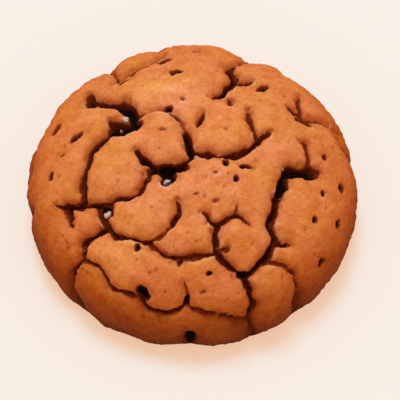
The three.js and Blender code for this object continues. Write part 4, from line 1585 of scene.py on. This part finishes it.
@dataclass(frozen=True)
class Studio:
    """Pale floor, one soft light, an even pale surround and the photograph's camera."""

    view: PhotoView = PhotoView()
    target_pixel: tuple[float, float] = (192.3, 184.8)
    frame_pixels: int = 400
    sensor: float = 36.0
    floor_size: float = 6.0
    floor_points: int = 9
    floor_gap: float = 0.02 * MM
    surround: Rgb = (252, 242, 233)
    fill: tuple[float, float, float] = (0.65, 0.54, 0.47)
    key: SkyLight = SkyLight("key", -15.0, 73.0, 24.0, (0.35, 0.46, 0.53))

    def add_camera(self) -> None:
        """Adds the camera at the photograph's angle, distance and framing."""
        data = bpy.data.cameras.new("camera")
        data.sensor_width = self.sensor
        data.lens = self.view.pixels_per_mm * (self.view.distance / MM) * self.sensor / self.frame_pixels
        middle = self.frame_pixels / 2
        data.shift_x = (middle - self.target_pixel[0]) / self.frame_pixels
        data.shift_y = (self.target_pixel[1] - middle) / self.frame_pixels
        data.clip_start = 10 * MM
        camera = bpy.data.objects.new("camera", data)
        bpy.context.scene.collection.objects.link(camera)
        elevation = math.radians(self.view.elevation)
        target = np.array([0.0, 0.0, self.view.target_height])
        away = np.array([0.0, -math.cos(elevation), math.sin(elevation)])
        camera.location = target + away * self.view.distance
        camera.rotation_euler = aim_angles(-away)
        bpy.context.scene.camera = camera

    def add_floor(self) -> None:
        """Adds the floor, a large flat sheet of quads just under the cookie."""
        side = np.linspace(-self.floor_size / 2, self.floor_size / 2, self.floor_points)
        x, y = np.meshgrid(side, side)
        points = np.column_stack([x.ravel(), y.ravel(), np.full(x.size, -self.floor_gap)])
        floor = add_mesh("floor", points, grid_quads(self.floor_points, self.floor_points).tolist())
        floor.data.materials.append(FloorFinish().material())

    def add_surround(self) -> None:
        """Adds the even light from all sides, and plain colour handling."""
        world = bpy.data.worlds.new("surround")
        world.use_nodes = True
        tree = world.node_tree
        rays = tree.nodes.new("ShaderNodeLightPath")
        shown = tree.nodes.new("ShaderNodeMix")
        shown.data_type = "RGBA"
        shown.inputs[6].default_value = (*self.fill, 1.0)
        shown.inputs[7].default_value = srgb(self.surround)
        tree.links.new(rays.outputs["Is Camera Ray"], shown.inputs[0])
        tree.links.new(shown.outputs[2], tree.nodes["Background"].inputs["Color"])
        bpy.context.scene.world = world
        bpy.context.scene.view_settings.view_transform = "Standard"

    def build(self) -> None:
        """Sets the whole studio up."""
        self.add_camera()
        self.add_floor()
        self.add_surround()
        self.key.build()


# ---- Putting it together ----


def fit_piece(piece: bpy.types.Object, material: bpy.types.Material) -> None:
    """Gives a piece its finish, lets it ride on the cookie, and reports it.

    Args:
        piece: The piece.
        material: Its finish.
    """
    piece.data.materials.append(material)
    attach(piece, "root")
    log.info("%s: %d faces", piece.name, len(piece.data.polygons))


def main() -> None:
    """Builds the studio, the crust and the crumbs."""
    logging.basicConfig(level=logging.INFO, format="%(name)s %(message)s")
    Studio().build()
    crust = Crust()
    crust_piece = crust.build()
    fit_piece(crust_piece, CrustFinish().material())
    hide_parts(COOKIE_NODE)
    fit_piece(Crumbs(crust).build(), CrumbFinish().material())


if __name__ == "__main__":
    main()
